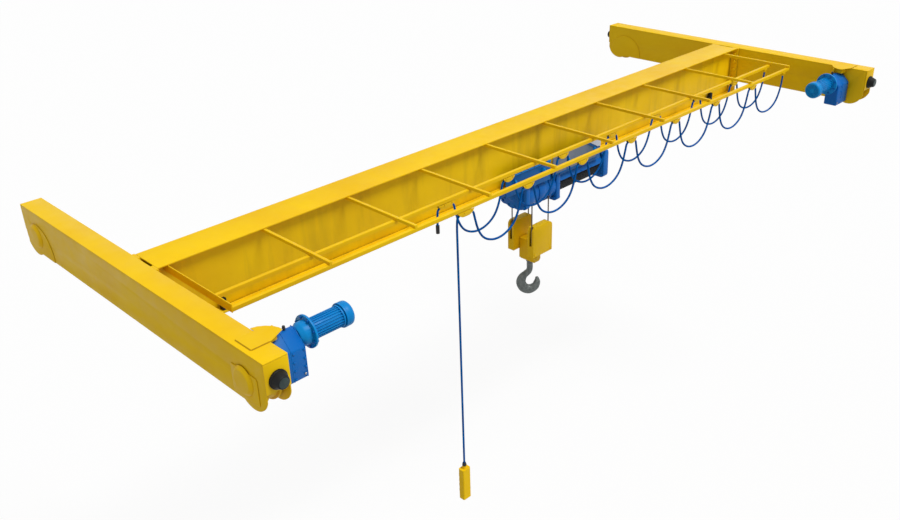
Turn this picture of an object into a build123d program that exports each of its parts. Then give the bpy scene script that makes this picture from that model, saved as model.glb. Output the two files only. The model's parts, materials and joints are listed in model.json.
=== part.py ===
from build123d import *
import os
from math import cos, pi, radians, sin, sqrt, tan

# Single-girder overhead travelling crane with a wire rope hoist, in millimetres.
# Origin: mid-span and mid-wheelbase, on the plane of the runway rails' tops.
# +X runs along the span, -Y is the side with the cable frame, +Z is up.

# Runway and general clearances
SPAN = 7500.0
AXLE_INSET = 225.0
RUN_GAP = 0.3

# Long-travel wheels
TREAD_R = 160.0
TREAD_WIDTH = 70.0
FLANGE_DEPTH = 18.0
FLANGE_WIDTH = 18.0
JOURNAL_R = 35.0

# End carriages
CARRIAGE_LENGTH = 3310.0
CARRIAGE_WIDTH = 170.0
CARRIAGE_TOP = 365.0
CARRIAGE_BOTTOM = 14.0
SIDE_PLATE = 8.0
COVER_PLATE = 10.0
BOTTOM_PLATE = 8.0
END_PLATE = 10.0
END_PLATE_HEIGHT = 212.0
LOBE_R = 160.0
LOBE_INSET = 153.0
LOBE_Z = 146.0
WHEEL_POCKET = 30.0

# Bearing pads and caps over the wheel journals
PAD_PLATE = 6.0
PAD_BACK = 129.0
PAD_FRONT = 143.0
PAD_TOP = 70.0
PAD_DROP = 124.0
PAD_ROUND = 20.0
PAD_R = 225.0
PAD_R_SHIFT = 30.0
PAD_R_DROP = 120.0
CAP_R = 98.0
CAP_HEIGHT = 18.0
CAP_WALL = 6.0

# Rubber buffers on the carriage ends
BUFFER_Z = 230.0
BUFFER_BASE_R = 62.0
BUFFER_NOSE_R = 44.0
BUFFER_LENGTH = 64.0

# Travel drives: bracket, reducer, bell, motor and fan cowl, one per carriage
BRACKET_REACH = 133.0
BRACKET_FRONT = 55.0
BRACKET_BACK = 150.0
BRACKET_BOTTOM = 60.0
BRACKET_PLATE = 8.0
LAP_PLATE = 6.0
LAP_REACH = 130.0
LAP_LENGTH = 165.0
REDUCER_WIDTH = 104.0
REDUCER_DEPTH = 128.0
REDUCER_OFFSET = 16.0
REDUCER_BOTTOM = 11.0
REDUCER_TOP = 315.0
REDUCER_SLOPE = 93.0
SHAFT_POCKET = 12.0
MOTOR_Y_OFFSET = 45.0
MOTOR_Z = 250.0
BELL_LENGTH = 73.0
BELL_TAPER = 33.0
BELL_SMALL_R = 56.0
BELL_BIG_R = 78.0
MOTOR_FLANGE_R = 110.0
MOTOR_FLANGE = 15.0
MOTOR_R = 62.0
MOTOR_LENGTH = 245.0
FIN_COUNT = 24
FIN_HEIGHT = 8.0
FIN_WIDTH = 5.0
COWL_R = 82.0
COWL_LENGTH = 88.0
COWL_ROUND = 14.0

# Girder, a welded box
GIRDER_HEIGHT = 537.0
TOP_FLANGE_WIDTH = 310.0
TOP_FLANGE = 10.0
BOX_WIDTH = 180.0
WEB = 8.0
BOTTOM_FLANGE_WIDTH = 300.0
BOTTOM_FLANGE = 22.0
GIRDER_END_PLATE = 20.0
GIRDER_END_WIDTH = 340.0

# Cable frame: cross bars welded to the front web, two slotted rails under them
BAR = 25.0
BAR_COUNT = 10
BAR_FIRST_INSET = 75.0
BAR_LAST_INSET = 252.0
END_BAR = 8.0
END_BAR_HEIGHT = 60.0
INNER_RAIL_Y = -700.0
OUTER_RAIL_Y = -914.0
RAIL = 30.0
RAIL_WALL = 2.5
RAIL_SLOT = 12.0

# Cable saddles
SADDLE_COUNT = 7
SADDLE_LEAD_X = -1494.0
SADDLE_PITCH = 694.0
SADDLE_HALF = 68.0
SADDLE_DEPTH = 42.0
SADDLE_CORNER = 63.0
SADDLE_SEAT_R = 33.0
SADDLE_SEAT_HALF = 26.0
LEAD_EXTRA = 38.0
SADDLE_CHEEK = 5.0
SADDLE_BRIDGE = 6.0
SADDLE_DROP = 4.0
SADDLE_NECK = 9.0
SADDLE_NECK_LENGTH = 24.0
SADDLE_HEAD_WIDTH = 21.0
SADDLE_HEAD_LENGTH = 56.0
SADDLE_HEAD_HEIGHT = 12.0
CLAMP_LENGTH = 46.0

# Cables
CABLE_R = 9.0
CABLE_TOP = 18.0
PLUG_R = 15.0
PLUG_LENGTH = 70.0
PLUG_DROP = 60.0
DROP_LEAN = 9.0
DROP_BEND = 84.0
BEND_SHARE = 0.45

# Hand pendant
PENDANT_WIDTH = 88.0
PENDANT_DEPTH = 62.0
PENDANT_TOP = -2107.0
PENDANT_HEIGHT = 319.0
PENDANT_ROUND = 12.0
GLAND_LENGTH = 50.0
GLAND_R = 19.0
GLAND_WALL = 3.0
BUTTON = 26.0
BUTTON_HEIGHT = 7.0
BUTTON_ROWS = 4
BUTTON_PITCH = 54.0
BUTTON_COLUMN = 19.0

# Hoist trolley on the girder's bottom flange
TROLLEY_WHEEL_R = 55.0
TROLLEY_FLANGE_DEPTH = 11.0
TROLLEY_FLANGE = 12.0
TROLLEY_TREAD = 42.0
TROLLEY_SIDE_GAP = 5.0
TROLLEY_PLATE = 12.0
TROLLEY_PLATE_TOP = 18.0
TROLLEY_PLATE_BOTTOM = -222.0
TROLLEY_PLATE_ROUND = 60.0
BOGIE_WHEEL_BASE = 400.0
BOGIE_OVERHANG = 110.0
DRUM_BOGIE_X = 50.0
MOTOR_BOGIE_X = 810.0
YOKE_GAP = 7.0
YOKE_LENGTH = 130.0
YOKE_SEAT = 40.0
DRUM_YOKE_X = 230.0
MOTOR_YOKE_X = 870.0
END_STOP_INSET = 445.0
END_STOP_LENGTH = 40.0
END_STOP_WIDTH = 46.0
END_STOP_HEIGHT = 95.0

# Hoist body
HOIST_Z = -341.0
DRUM_START_X = 85.0
DRUM_LENGTH = 387.0
DRUM_R = 152.0
DRUM_RIB_R = 160.0
DRUM_RIB = 88.0
DRUM_RIB_COUNT = 3
END_COVER_LENGTH = 75.0
END_COVER_R = 118.0
START_FLANGE = 50.0
START_FLANGE_BOTTOM = -454.0
MID_FLANGE = 56.0
MID_FLANGE_WIDTH = 330.0
MID_FLANGE_BOTTOM = -495.0
HOIST_FLANGE_ROUND = 40.0
HOIST_MOTOR_LENGTH = 675.0
HOIST_MOTOR_Z = -330.0
HOIST_MOTOR_R = 138.0
COVER_GAP = 14.0
COVER_SHEET = 5.0
COVER_FROM = 56.0
COVER_TO = 104.0
END_FLANGE = 78.0
END_FLANGE_WIDTH = 340.0
END_FLANGE_BOTTOM = -474.0

# Rope falls and hook block
BLOCK_X = 276.0
ROPE_R = 6.5
ROPE_POCKET_R = 15.0
ROPE_TOP_Z = -365.0
SHEAVE_Z = -835.0
SHEAVE_PITCH_R = 120.0
SHEAVE_WIDTH = 34.0
SHEAVE_PIN_R = 20.0
SHEAVE_PIN_REACH = 10.0
HOUSING_Y = 128.0
HOUSING_WIDTH = 280.0
HOUSING_THICKNESS = 75.0
HOUSING_TOP = -675.0
HOUSING_BOTTOM = -990.0
HOUSING_ROUND = 45.0
HOUSING_CLEAR = 3.0
ROPE_SLOT = 30.0
ROPE_SLOT_DROP = 40.0
CROSSHEAD_WIDTH = 114.0
CROSSHEAD_TOP = -870.0
CROSSHEAD_BOTTOM = -1108.0
CROSSHEAD_BEVEL = 22.0

# Forged hook
HOOK_TURN = -35.0
SHANK_R = 26.0
SHANK_DEPTH = 75.0
BOWL_R = 58.0
BOWL_DEPTH = 87.0
BOWL_Z = -1351.0
NECK_LEAN = 156.0
NECK_SHIFT_SHARE = 0.4
NECK_DEPTH_SHARE = 2.1

# Oval sections round the bowl: angle, then inner radius, depth and width as shares of the bowl's
HOOK_SECTIONS = [
    (118, 1.25, 0.72, 0.66),
    (150, 1.04, 0.88, 0.72),
    (185, 1.00, 0.94, 0.76),
    (230, 1.00, 0.98, 0.80),
    (270, 1.00, 1.00, 0.80),
    (310, 1.00, 0.86, 0.74),
    (342, 1.03, 0.66, 0.62),
    (361, 1.12, 0.46, 0.48),
    (377, 1.30, 0.24, 0.28),
]

# Route of one cable bay from a saddle to the next, as (x, z) from the first saddle's arc top
BAY_ROUTE = [
    (SADDLE_CORNER, 0.0),
    (SADDLE_CORNER + 19.0, -80.0),
    (SADDLE_CORNER + 53.0, -198.0),
    (SADDLE_CORNER + 114.0, -290.0),
    (SADDLE_CORNER + 224.0, -343.0),
    (SADDLE_PITCH - SADDLE_CORNER - 224.0, -343.0),
    (SADDLE_PITCH - SADDLE_CORNER - 114.0, -290.0),
    (SADDLE_PITCH - SADDLE_CORNER - 53.0, -198.0),
    (SADDLE_PITCH - SADDLE_CORNER - 19.0, -80.0),
    (SADDLE_PITCH - SADDLE_CORNER, 0.0),
]
END_ROUTE = BAY_ROUTE[:5] + [(x + 20.0, z) for x, z in BAY_ROUTE[5:9]]
END_ROUTE.append((END_ROUTE[-1][0], -14.0))

# Worked out from the sizes above
FLANGE_R = TREAD_R + FLANGE_DEPTH
AXLE_Y = CARRIAGE_LENGTH / 2 - AXLE_INSET
COVER_BOTTOM = CARRIAGE_TOP - COVER_PLATE
END_BOTTOM = CARRIAGE_TOP - END_PLATE_HEIGHT
SIDE_END = CARRIAGE_LENGTH / 2 - END_PLATE
LEFT_X = -SPAN / 2
LEFT_OUTER = LEFT_X - CARRIAGE_WIDTH / 2
LEFT_INNER = LEFT_X + CARRIAGE_WIDTH / 2
GIRDER_END_X = SPAN / 2 - CARRIAGE_WIDTH / 2 - GIRDER_END_PLATE
GIRDER_BOTTOM = CARRIAGE_TOP - GIRDER_HEIGHT
END_STOP_X = GIRDER_END_X - END_STOP_INSET
BAR_FIRST_X = BAR_FIRST_INSET - GIRDER_END_X
BAR_LAST_X = GIRDER_END_X - BAR_LAST_INSET
YOKE_TOP = GIRDER_BOTTOM - YOKE_GAP
WEB_TOP = CARRIAGE_TOP - TOP_FLANGE
FLANGE_TOP = GIRDER_BOTTOM + BOTTOM_FLANGE
BAR_BOTTOM = WEB_TOP - BAR
RAIL_BOTTOM = BAR_BOTTOM - RAIL
CABLE_ARC_Z = RAIL_BOTTOM - CABLE_TOP
DROP_X = SADDLE_LEAD_X - SADDLE_CORNER - LEAD_EXTRA - DROP_LEAN
REDUCER_X = LEFT_INNER + BRACKET_REACH
MID_FLANGE_X = DRUM_START_X + DRUM_LENGTH
HOIST_MOTOR_X = MID_FLANGE_X + MID_FLANGE
END_FLANGE_X = HOIST_MOTOR_X + HOIST_MOTOR_LENGTH
TROLLEY_WHEEL_Z = FLANGE_TOP + TROLLEY_WHEEL_R + RUN_GAP
TROLLEY_FLANGE_Y = BOTTOM_FLANGE_WIDTH / 2 + TROLLEY_SIDE_GAP
TROLLEY_PLATE_Y = TROLLEY_FLANGE_Y + TROLLEY_FLANGE


def block(x0, x1, y0, y1, z0, z1):
    """Box between two corners."""
    centre = Pos((x0 + x1) / 2, (y0 + y1) / 2, (z0 + z1) / 2)
    return centre * Box(x1 - x0, y1 - y0, z1 - z0)


def area(a0, a1, b0, b1):
    """Flat rectangle between two corners."""
    return Pos((a0 + a1) / 2, (b0 + b1) / 2) * Rectangle(a1 - a0, b1 - b0)


def outline(*points):
    """Flat face inside a closed run of straight lines."""
    return make_face(Polyline(*points, close=True))


def across(sketch, x0, x1):
    """Sketch drawn in Y and Z, given thickness along X."""
    return extrude(Plane.YZ.offset(x0) * sketch, amount=x1 - x0)


def along_y(sketch, y0, y1):
    """Sketch drawn in X and Z, given thickness along Y."""
    return extrude(Plane.XZ.offset(-y1) * sketch, amount=y1 - y0)


def turned_x(*profile):
    """Solid of revolution about X from points of (x, radius)."""
    return revolve(outline(*profile), axis=Axis.X)


def turned_y(*profile):
    """Solid of revolution about Y from points of (y, radius)."""
    points = [(radius, y) for y, radius in profile]
    return revolve(outline(*points), axis=Axis.Y)


def both_sides(*solids):
    """The left carriage's pieces and their mirror images on the right one."""
    return [*solids, *[mirror(solid, about=Plane.YZ) for solid in solids]]


def save(node, *solids):
    """Write one node; several solids share it as a group."""
    shape = solids[0] if len(solids) == 1 else Compound(children=list(solids))
    export_step(shape, f"parts/{node}.step")


# End carriages

def journal_holes():
    hole = Circle(JOURNAL_R + RUN_GAP)
    return Pos(-AXLE_Y, TREAD_R) * hole + Pos(AXLE_Y, TREAD_R) * hole


def side_outline():
    """Side plate with a round lobe under each end and a hole for each wheel journal."""
    lobe_y = SIDE_END - LOBE_INSET
    shape = outline(
        (-SIDE_END, COVER_BOTTOM),
        (SIDE_END, COVER_BOTTOM),
        (SIDE_END, LOBE_Z),
        (lobe_y, LOBE_Z),
        (lobe_y, CARRIAGE_BOTTOM),
        (-lobe_y, CARRIAGE_BOTTOM),
        (-lobe_y, LOBE_Z),
        (-SIDE_END, LOBE_Z),
    )
    lobe = Circle(LOBE_R) & area(-LOBE_INSET, LOBE_INSET, -LOBE_R, 0)
    for y in (-lobe_y, lobe_y):
        shape += Pos(y, LOBE_Z) * lobe
    return shape - journal_holes()


def front_pad_outline():
    """Flat bearing pad round the driven journal, with rounded corners."""
    pad = area(-PAD_FRONT, PAD_BACK, -PAD_DROP, PAD_TOP)
    pad = fillet(pad.vertices(), PAD_ROUND)
    return Pos(-AXLE_Y, TREAD_R) * pad - journal_holes()


def back_pad_outline():
    """Round bearing pad that closes the idle journal's hole, trimmed to the side plate."""
    pad = Pos(AXLE_Y - PAD_R_SHIFT, TREAD_R - PAD_R_DROP) * Circle(PAD_R)
    whole = side_outline() + Pos(AXLE_Y, TREAD_R) * Circle(JOURNAL_R + RUN_GAP)
    return whole & pad


def axle_caps():
    """Round bearing caps on both pads, the front one with a blind bore for the driven journal."""
    seat = LEFT_OUTER - PAD_PLATE
    disc = Pos(-AXLE_Y, TREAD_R) * Circle(CAP_R)
    cap = across(disc, seat - CAP_HEIGHT, seat)
    back_cap = mirror(cap, about=Plane.XZ)
    pocket = Pos(seat, -AXLE_Y, TREAD_R) * Rot(0, 90, 0) * Cylinder(
        JOURNAL_R + RUN_GAP, 2 * (CAP_HEIGHT - CAP_WALL)
    )
    return cap - pocket, back_cap


def carriages():
    """Two welded box beams with their bearing pads, caps and buffers."""
    side = side_outline()
    outer = across(side, LEFT_OUTER, LEFT_OUTER + SIDE_PLATE)
    inner = across(side, LEFT_INNER - SIDE_PLATE, LEFT_INNER)
    half = CARRIAGE_LENGTH / 2
    cover = block(LEFT_OUTER, LEFT_INNER, -half, half, COVER_BOTTOM, CARRIAGE_TOP)
    floor_end = AXLE_Y - FLANGE_R - WHEEL_POCKET
    floor = block(
        LEFT_OUTER + SIDE_PLATE, LEFT_INNER - SIDE_PLATE,
        -floor_end, floor_end, CARRIAGE_BOTTOM, CARRIAGE_BOTTOM + BOTTOM_PLATE,
    )
    front_end = block(LEFT_OUTER, LEFT_INNER, -half, -SIDE_END, END_BOTTOM, COVER_BOTTOM)
    save("carriage_sides", *both_sides(outer, inner))
    save("carriage_cover_plates", *both_sides(cover))
    save("carriage_bottom_plates", *both_sides(floor))
    save("carriage_end_plates", *both_sides(front_end, mirror(front_end, about=Plane.XZ)))

    front_pad = across(front_pad_outline(), LEFT_OUTER - PAD_PLATE, LEFT_OUTER)
    back_pad = back_pad_outline()
    outer_pad = across(back_pad, LEFT_OUTER - PAD_PLATE, LEFT_OUTER)
    inner_pad = across(back_pad, LEFT_INNER, LEFT_INNER + PAD_PLATE)
    save("bearing_pads", *both_sides(front_pad, outer_pad, inner_pad))
    save("axle_caps", *both_sides(*axle_caps()))

    buffer = turned_y((0, 0), (0, BUFFER_BASE_R), (BUFFER_LENGTH, BUFFER_NOSE_R), (BUFFER_LENGTH, 0))
    back_buffer = Pos(LEFT_X, half, BUFFER_Z) * buffer
    front_buffer = mirror(back_buffer, about=Plane.XZ)
    save("buffers", *both_sides(front_buffer, back_buffer))


def wheel(outer_reach, inner_reach):
    """Double-flanged wheel with its journals, axis on X, the driven journal towards +X."""
    half = TREAD_WIDTH / 2
    rim = half + FLANGE_WIDTH
    return turned_x(
        (-outer_reach, 0),
        (-outer_reach, JOURNAL_R),
        (-rim, JOURNAL_R),
        (-rim, FLANGE_R),
        (-half, FLANGE_R),
        (-half, TREAD_R),
        (half, TREAD_R),
        (half, FLANGE_R),
        (rim, FLANGE_R),
        (rim, JOURNAL_R),
        (inner_reach, JOURNAL_R),
        (inner_reach, 0),
    )


def wheels():
    """The front wheels are driven, so their shafts run on into the reducers."""
    half = CARRIAGE_WIDTH / 2
    idle_reach = half - RUN_GAP
    cap_reach = half + PAD_PLATE + CAP_HEIGHT - CAP_WALL - RUN_GAP
    driven_reach = half + BRACKET_REACH + SHAFT_POCKET - RUN_GAP
    driven = Pos(LEFT_X, -AXLE_Y, TREAD_R) * wheel(cap_reach, driven_reach)
    idle = Pos(LEFT_X, AXLE_Y, TREAD_R) * wheel(idle_reach, idle_reach)
    save("left_front_wheel", driven)
    save("left_back_wheel", idle)
    save("right_front_wheel", mirror(driven, about=Plane.YZ))
    save("right_back_wheel", mirror(idle, about=Plane.YZ))


def travel_drives():
    """Bracket, reducer, bell, finned motor and fan cowl beside each front wheel."""
    shaft = Pos(LEFT_X, -AXLE_Y, TREAD_R) * Rot(0, 90, 0) * Cylinder(
        JOURNAL_R + RUN_GAP, CARRIAGE_WIDTH + 2 * (BRACKET_REACH + SHAFT_POCKET)
    )
    front = -AXLE_Y - BRACKET_FRONT
    back = -AXLE_Y + BRACKET_BACK
    bracket = block(LEFT_INNER, REDUCER_X, front, back, BRACKET_BOTTOM, CARRIAGE_TOP)
    bracket -= block(
        LEFT_INNER, REDUCER_X - BRACKET_PLATE,
        front + BRACKET_PLATE, back - BRACKET_PLATE, BRACKET_BOTTOM, COVER_BOTTOM,
    )
    bracket -= shaft
    bracket += block(
        LEFT_INNER - LAP_REACH, REDUCER_X, front, front + LAP_LENGTH, CARRIAGE_TOP, CARRIAGE_TOP + LAP_PLATE
    )
    save("drive_brackets", *both_sides(bracket))

    near = -AXLE_Y + REDUCER_OFFSET - REDUCER_DEPTH / 2
    far = near + REDUCER_DEPTH
    case = outline(
        (near, REDUCER_BOTTOM),
        (near, REDUCER_TOP - REDUCER_SLOPE),
        (near + REDUCER_SLOPE, REDUCER_TOP),
        (far, REDUCER_TOP),
        (far, REDUCER_BOTTOM),
    )
    reducer = across(case, REDUCER_X, REDUCER_X + REDUCER_WIDTH) - shaft
    save("travel_reducers", *both_sides(reducer))

    bell_x = REDUCER_X + REDUCER_WIDTH
    flange_x = bell_x + BELL_LENGTH
    motor_x = flange_x + MOTOR_FLANGE
    cowl_x = motor_x + MOTOR_LENGTH
    seat = Pos(0, -AXLE_Y + MOTOR_Y_OFFSET, MOTOR_Z)
    bell = turned_x(
        (bell_x, 0),
        (bell_x, BELL_SMALL_R),
        (bell_x + BELL_TAPER, BELL_BIG_R),
        (flange_x, BELL_BIG_R),
        (flange_x, MOTOR_FLANGE_R),
        (motor_x, MOTOR_FLANGE_R),
        (motor_x, 0),
    )
    save("travel_motor_flanges", *both_sides(seat * bell))

    motor = turned_x((motor_x, 0), (motor_x, MOTOR_R), (cowl_x, MOTOR_R), (cowl_x, 0))
    fin = block(motor_x, cowl_x, -FIN_WIDTH / 2, FIN_WIDTH / 2, MOTOR_R - FIN_HEIGHT, MOTOR_R + FIN_HEIGHT)
    for count in range(FIN_COUNT):
        motor += Rot(360 / FIN_COUNT * count, 0, 0) * fin
    save("travel_motors", *both_sides(seat * motor))

    cowl_end = cowl_x + COWL_LENGTH
    cowl = turned_x(
        (cowl_x, 0),
        (cowl_x, COWL_R),
        (cowl_end - COWL_ROUND, COWL_R),
        (cowl_end, COWL_R - COWL_ROUND),
        (cowl_end, 0),
    )
    save("travel_fan_cowls", *both_sides(seat * cowl))


# Girder

def girder():
    """Box girder: two flanges, two webs and an end plate against each carriage."""
    end = GIRDER_END_X
    half_web = BOX_WIDTH / 2
    half_top = TOP_FLANGE_WIDTH / 2
    half_bottom = BOTTOM_FLANGE_WIDTH / 2
    save("girder_top_flange", block(-end, end, -half_top, half_top, WEB_TOP, CARRIAGE_TOP))
    save("girder_bottom_flange", block(-end, end, -half_bottom, half_bottom, GIRDER_BOTTOM, FLANGE_TOP))
    front_web = block(-end, end, -half_web, -half_web + WEB, FLANGE_TOP, WEB_TOP)
    save("girder_webs", front_web, mirror(front_web, about=Plane.XZ))
    half_end = GIRDER_END_WIDTH / 2
    plate = block(-end - GIRDER_END_PLATE, -end, -half_end, half_end, GIRDER_BOTTOM, CARRIAGE_TOP)
    save("girder_end_plates", *both_sides(plate))

    stop_y = half_bottom - END_STOP_WIDTH / 2
    stop = block(
        -END_STOP_X - END_STOP_LENGTH / 2, -END_STOP_X + END_STOP_LENGTH / 2,
        -stop_y - END_STOP_WIDTH / 2, -stop_y + END_STOP_WIDTH / 2,
        FLANGE_TOP, FLANGE_TOP + END_STOP_HEIGHT,
    )
    save("trolley_end_stops", *both_sides(stop, mirror(stop, about=Plane.XZ)))


# Cable frame and cables

def cable_frame():
    """Cross bars on the front web carry two slotted rails."""
    wall_y = -BOX_WIDTH / 2
    tip_y = OUTER_RAIL_Y - RAIL / 2
    pitch = (BAR_LAST_X - BAR_FIRST_X) / (BAR_COUNT - 1)
    bars = [
        block(
            BAR_FIRST_X - END_BAR / 2, BAR_FIRST_X + END_BAR / 2,
            tip_y, wall_y, WEB_TOP - END_BAR_HEIGHT, WEB_TOP,
        )
    ]
    for count in range(1, BAR_COUNT):
        x = BAR_FIRST_X + pitch * count
        bars.append(block(x - BAR / 2, x + BAR / 2, tip_y, wall_y, BAR_BOTTOM, WEB_TOP))
    save("cable_frame_bars", *bars)

    section = area(-RAIL / 2, RAIL / 2, RAIL_BOTTOM, BAR_BOTTOM)
    section -= area(
        -RAIL / 2 + RAIL_WALL, RAIL / 2 - RAIL_WALL, RAIL_BOTTOM + RAIL_WALL, BAR_BOTTOM - RAIL_WALL
    )
    section -= area(-RAIL_SLOT / 2, RAIL_SLOT / 2, RAIL_BOTTOM, RAIL_BOTTOM + RAIL_WALL)
    rail = across(section, BAR_FIRST_X + END_BAR / 2, BAR_LAST_X + BAR / 2)
    save("cable_rail_inner", Pos(0, INNER_RAIL_Y, 0) * rail)
    save("cable_rail_outer", Pos(0, OUTER_RAIL_Y, 0) * rail)


def saddle(extra):
    """Saddle at x = 0, y = 0: two half-moon cheeks, a seat, a neck and a rail head; extra lengthens its left."""
    top = RAIL_BOTTOM - SADDLE_DROP
    inside = CABLE_R + 2 * RUN_GAP
    bottom = top - SADDLE_DEPTH
    belly = (SADDLE_HALF**2 + SADDLE_DEPTH**2) / (2 * SADDLE_DEPTH)
    moon = Pos(0, bottom + belly) * Circle(belly)
    if extra:
        moon += Pos(-extra, bottom + belly) * Circle(belly)
        moon += area(-extra, 0, bottom, top)
    moon &= area(-SADDLE_HALF - extra, SADDLE_HALF, bottom, top)
    cheek = along_y(moon, inside, inside + SADDLE_CHEEK)
    body = cheek + mirror(cheek, about=Plane.XZ)
    half = inside + SADDLE_CHEEK
    body += block(
        -SADDLE_SEAT_HALF - extra, SADDLE_SEAT_HALF, -half, half, top - SADDLE_BRIDGE / 2, top
    )
    seat_r = SADDLE_SEAT_R - RUN_GAP
    seat_z = CABLE_ARC_Z - CABLE_R - SADDLE_SEAT_R
    right_x = SADDLE_SEAT_HALF
    seat = Pos(right_x, seat_z) * Circle(seat_r)
    seat += Pos(-right_x - extra, seat_z) * Circle(seat_r)
    seat += area(-right_x - extra, right_x, seat_z - seat_r, seat_z + seat_r)
    body += along_y(seat & moon, -inside, inside)
    lip_top = RAIL_BOTTOM + RAIL_WALL
    body += block(
        -SADDLE_NECK_LENGTH / 2, SADDLE_NECK_LENGTH / 2, -SADDLE_NECK / 2, SADDLE_NECK / 2, top, lip_top
    )
    body += block(
        -SADDLE_HEAD_LENGTH / 2, SADDLE_HEAD_LENGTH / 2,
        -SADDLE_HEAD_WIDTH / 2, SADDLE_HEAD_WIDTH / 2, lip_top, lip_top + SADDLE_HEAD_HEIGHT,
    )
    return body


def bay_points(saddle_x, steps):
    return [(saddle_x + x, CABLE_ARC_Z + z) for x, z in steps]


def cable_route(lead):
    """Lead points, then a loop for each bay, the last one ending upright in the end clamp."""
    points = list(lead)
    for count in range(SADDLE_COUNT):
        steps = BAY_ROUTE if count < SADDLE_COUNT - 1 else END_ROUTE
        points += bay_points(SADDLE_LEAD_X + SADDLE_PITCH * count, steps)
    return points


def cable(name, y, points):
    """Plain square tube along straight runs joined by tangent arcs as large as the runs allow."""
    path = [Vector(x, y, z) for x, z in points]
    runs = [b - a for a, b in zip(path, path[1:])]
    radii = []
    for a, b in zip(runs, runs[1:]):
        half_turn = radians(a.get_angle(b)) / 2
        radii.append(BEND_SHARE * min(a.length, b.length) / tan(half_turn))
    line = FilletPolyline(*path, radius=radii)
    side = CABLE_R * sqrt(pi)
    section = Plane(origin=path[0], x_dir=(0, 1, 0), z_dir=runs[0]) * Rectangle(side, side)
    tube = sweep(section, path=line)
    print(name, "length", round(line.length), "volume share", round(tube.volume / (side**2 * line.length), 4))
    print(name, "radii", [round(radius) for radius in radii[:14]])
    save(name, tube)


def cables():
    """Saddles, end clamps, the hoist's supply cable, the pendant's cable and the pendant."""
    saddles = []
    for rail_y in (INNER_RAIL_Y, OUTER_RAIL_Y):
        for count in range(SADDLE_COUNT):
            extra = LEAD_EXTRA if count == 0 else 0
            saddles.append(Pos(SADDLE_LEAD_X + SADDLE_PITCH * count, rail_y, 0) * saddle(extra))
    save("cable_saddles", *saddles)

    corner = (SADDLE_LEAD_X - SADDLE_CORNER - LEAD_EXTRA, CABLE_ARC_Z)
    bend = (DROP_X, CABLE_ARC_Z - DROP_BEND)
    gland_top = (DROP_X, PENDANT_TOP + GLAND_LENGTH)
    cable("pendant_cable", OUTER_RAIL_Y, cable_route([gland_top, bend, corner]))
    plug_top = (DROP_X, CABLE_ARC_Z - DROP_BEND - PLUG_DROP)
    cable("hoist_cable", INNER_RAIL_Y, cable_route([plug_top, bend, corner]))

    end_x = SADDLE_LEAD_X + SADDLE_PITCH * (SADDLE_COUNT - 1) + END_ROUTE[-1][0]
    end_z = CABLE_ARC_Z + END_ROUTE[-1][1]
    clamps = []
    for rail_y in (INNER_RAIL_Y, OUTER_RAIL_Y):
        clamps.append(
            block(
                end_x - CLAMP_LENGTH / 2, end_x + CLAMP_LENGTH / 2,
                rail_y - RAIL / 2, rail_y + RAIL / 2, end_z, RAIL_BOTTOM,
            )
        )
    save("cable_end_clamps", *clamps)
    plug = Cylinder(PLUG_R, PLUG_LENGTH)
    save("hoist_cable_plug", Pos(DROP_X, INNER_RAIL_Y, plug_top[1] - PLUG_LENGTH / 2) * plug)


def pendant():
    """Hand control box under its cable, with square push buttons on the back face."""
    x = DROP_X
    plan = Pos(x, OUTER_RAIL_Y) * RectangleRounded(PENDANT_WIDTH, PENDANT_DEPTH, PENDANT_ROUND)
    bottom = PENDANT_TOP - PENDANT_HEIGHT
    body = extrude(Plane.XY.offset(bottom) * plan, amount=PENDANT_HEIGHT)
    gland = Cone(GLAND_R, CABLE_R + GLAND_WALL, GLAND_LENGTH)
    save("pendant_box", body + Pos(x, OUTER_RAIL_Y, PENDANT_TOP + GLAND_LENGTH / 2) * gland)
    face = OUTER_RAIL_Y + PENDANT_DEPTH / 2
    middle = PENDANT_TOP - PENDANT_HEIGHT / 2
    buttons = []
    for row in range(BUTTON_ROWS):
        z = middle + BUTTON_PITCH * (row - (BUTTON_ROWS - 1) / 2)
        for column in (-BUTTON_COLUMN, BUTTON_COLUMN):
            centre = x + column
            buttons.append(
                block(
                    centre - BUTTON / 2, centre + BUTTON / 2, face, face + BUTTON_HEIGHT,
                    z - BUTTON / 2, z + BUTTON / 2,
                )
            )
    save("pendant_buttons", *buttons)


# Hoist

def drum_housing():
    """Drum housing with stiffening rings and four rope pockets in its underside."""
    end = DRUM_START_X + DRUM_LENGTH
    body = turned_x((DRUM_START_X, 0), (DRUM_START_X, DRUM_R), (end, DRUM_R), (end, 0))
    pitch = (DRUM_LENGTH - DRUM_RIB) / (DRUM_RIB_COUNT - 1)
    for count in range(DRUM_RIB_COUNT):
        x = DRUM_START_X + pitch * count
        body += turned_x((x, 0), (x, DRUM_RIB_R), (x + DRUM_RIB, DRUM_RIB_R), (x + DRUM_RIB, 0))
    body = Pos(0, 0, HOIST_Z) * body
    depth = ROPE_TOP_Z - (HOIST_Z - DRUM_RIB_R)
    for x, y in fall_places():
        body -= Pos(x, y, ROPE_TOP_Z - depth / 2) * Cylinder(ROPE_POCKET_R, depth)
    return body


def fall_places():
    """Plan places of the four rope falls, two on each sheave."""
    places = []
    for y in (-HOUSING_Y, HOUSING_Y):
        places.append((BLOCK_X - SHEAVE_PITCH_R, y))
        places.append((BLOCK_X + SHEAVE_PITCH_R, y))
    return places


def case_outline(width, bottom, top, corner):
    """Upright rounded rectangle in Y and Z."""
    return Pos(0, (bottom + top) / 2) * RectangleRounded(width, top - bottom, corner)


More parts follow.
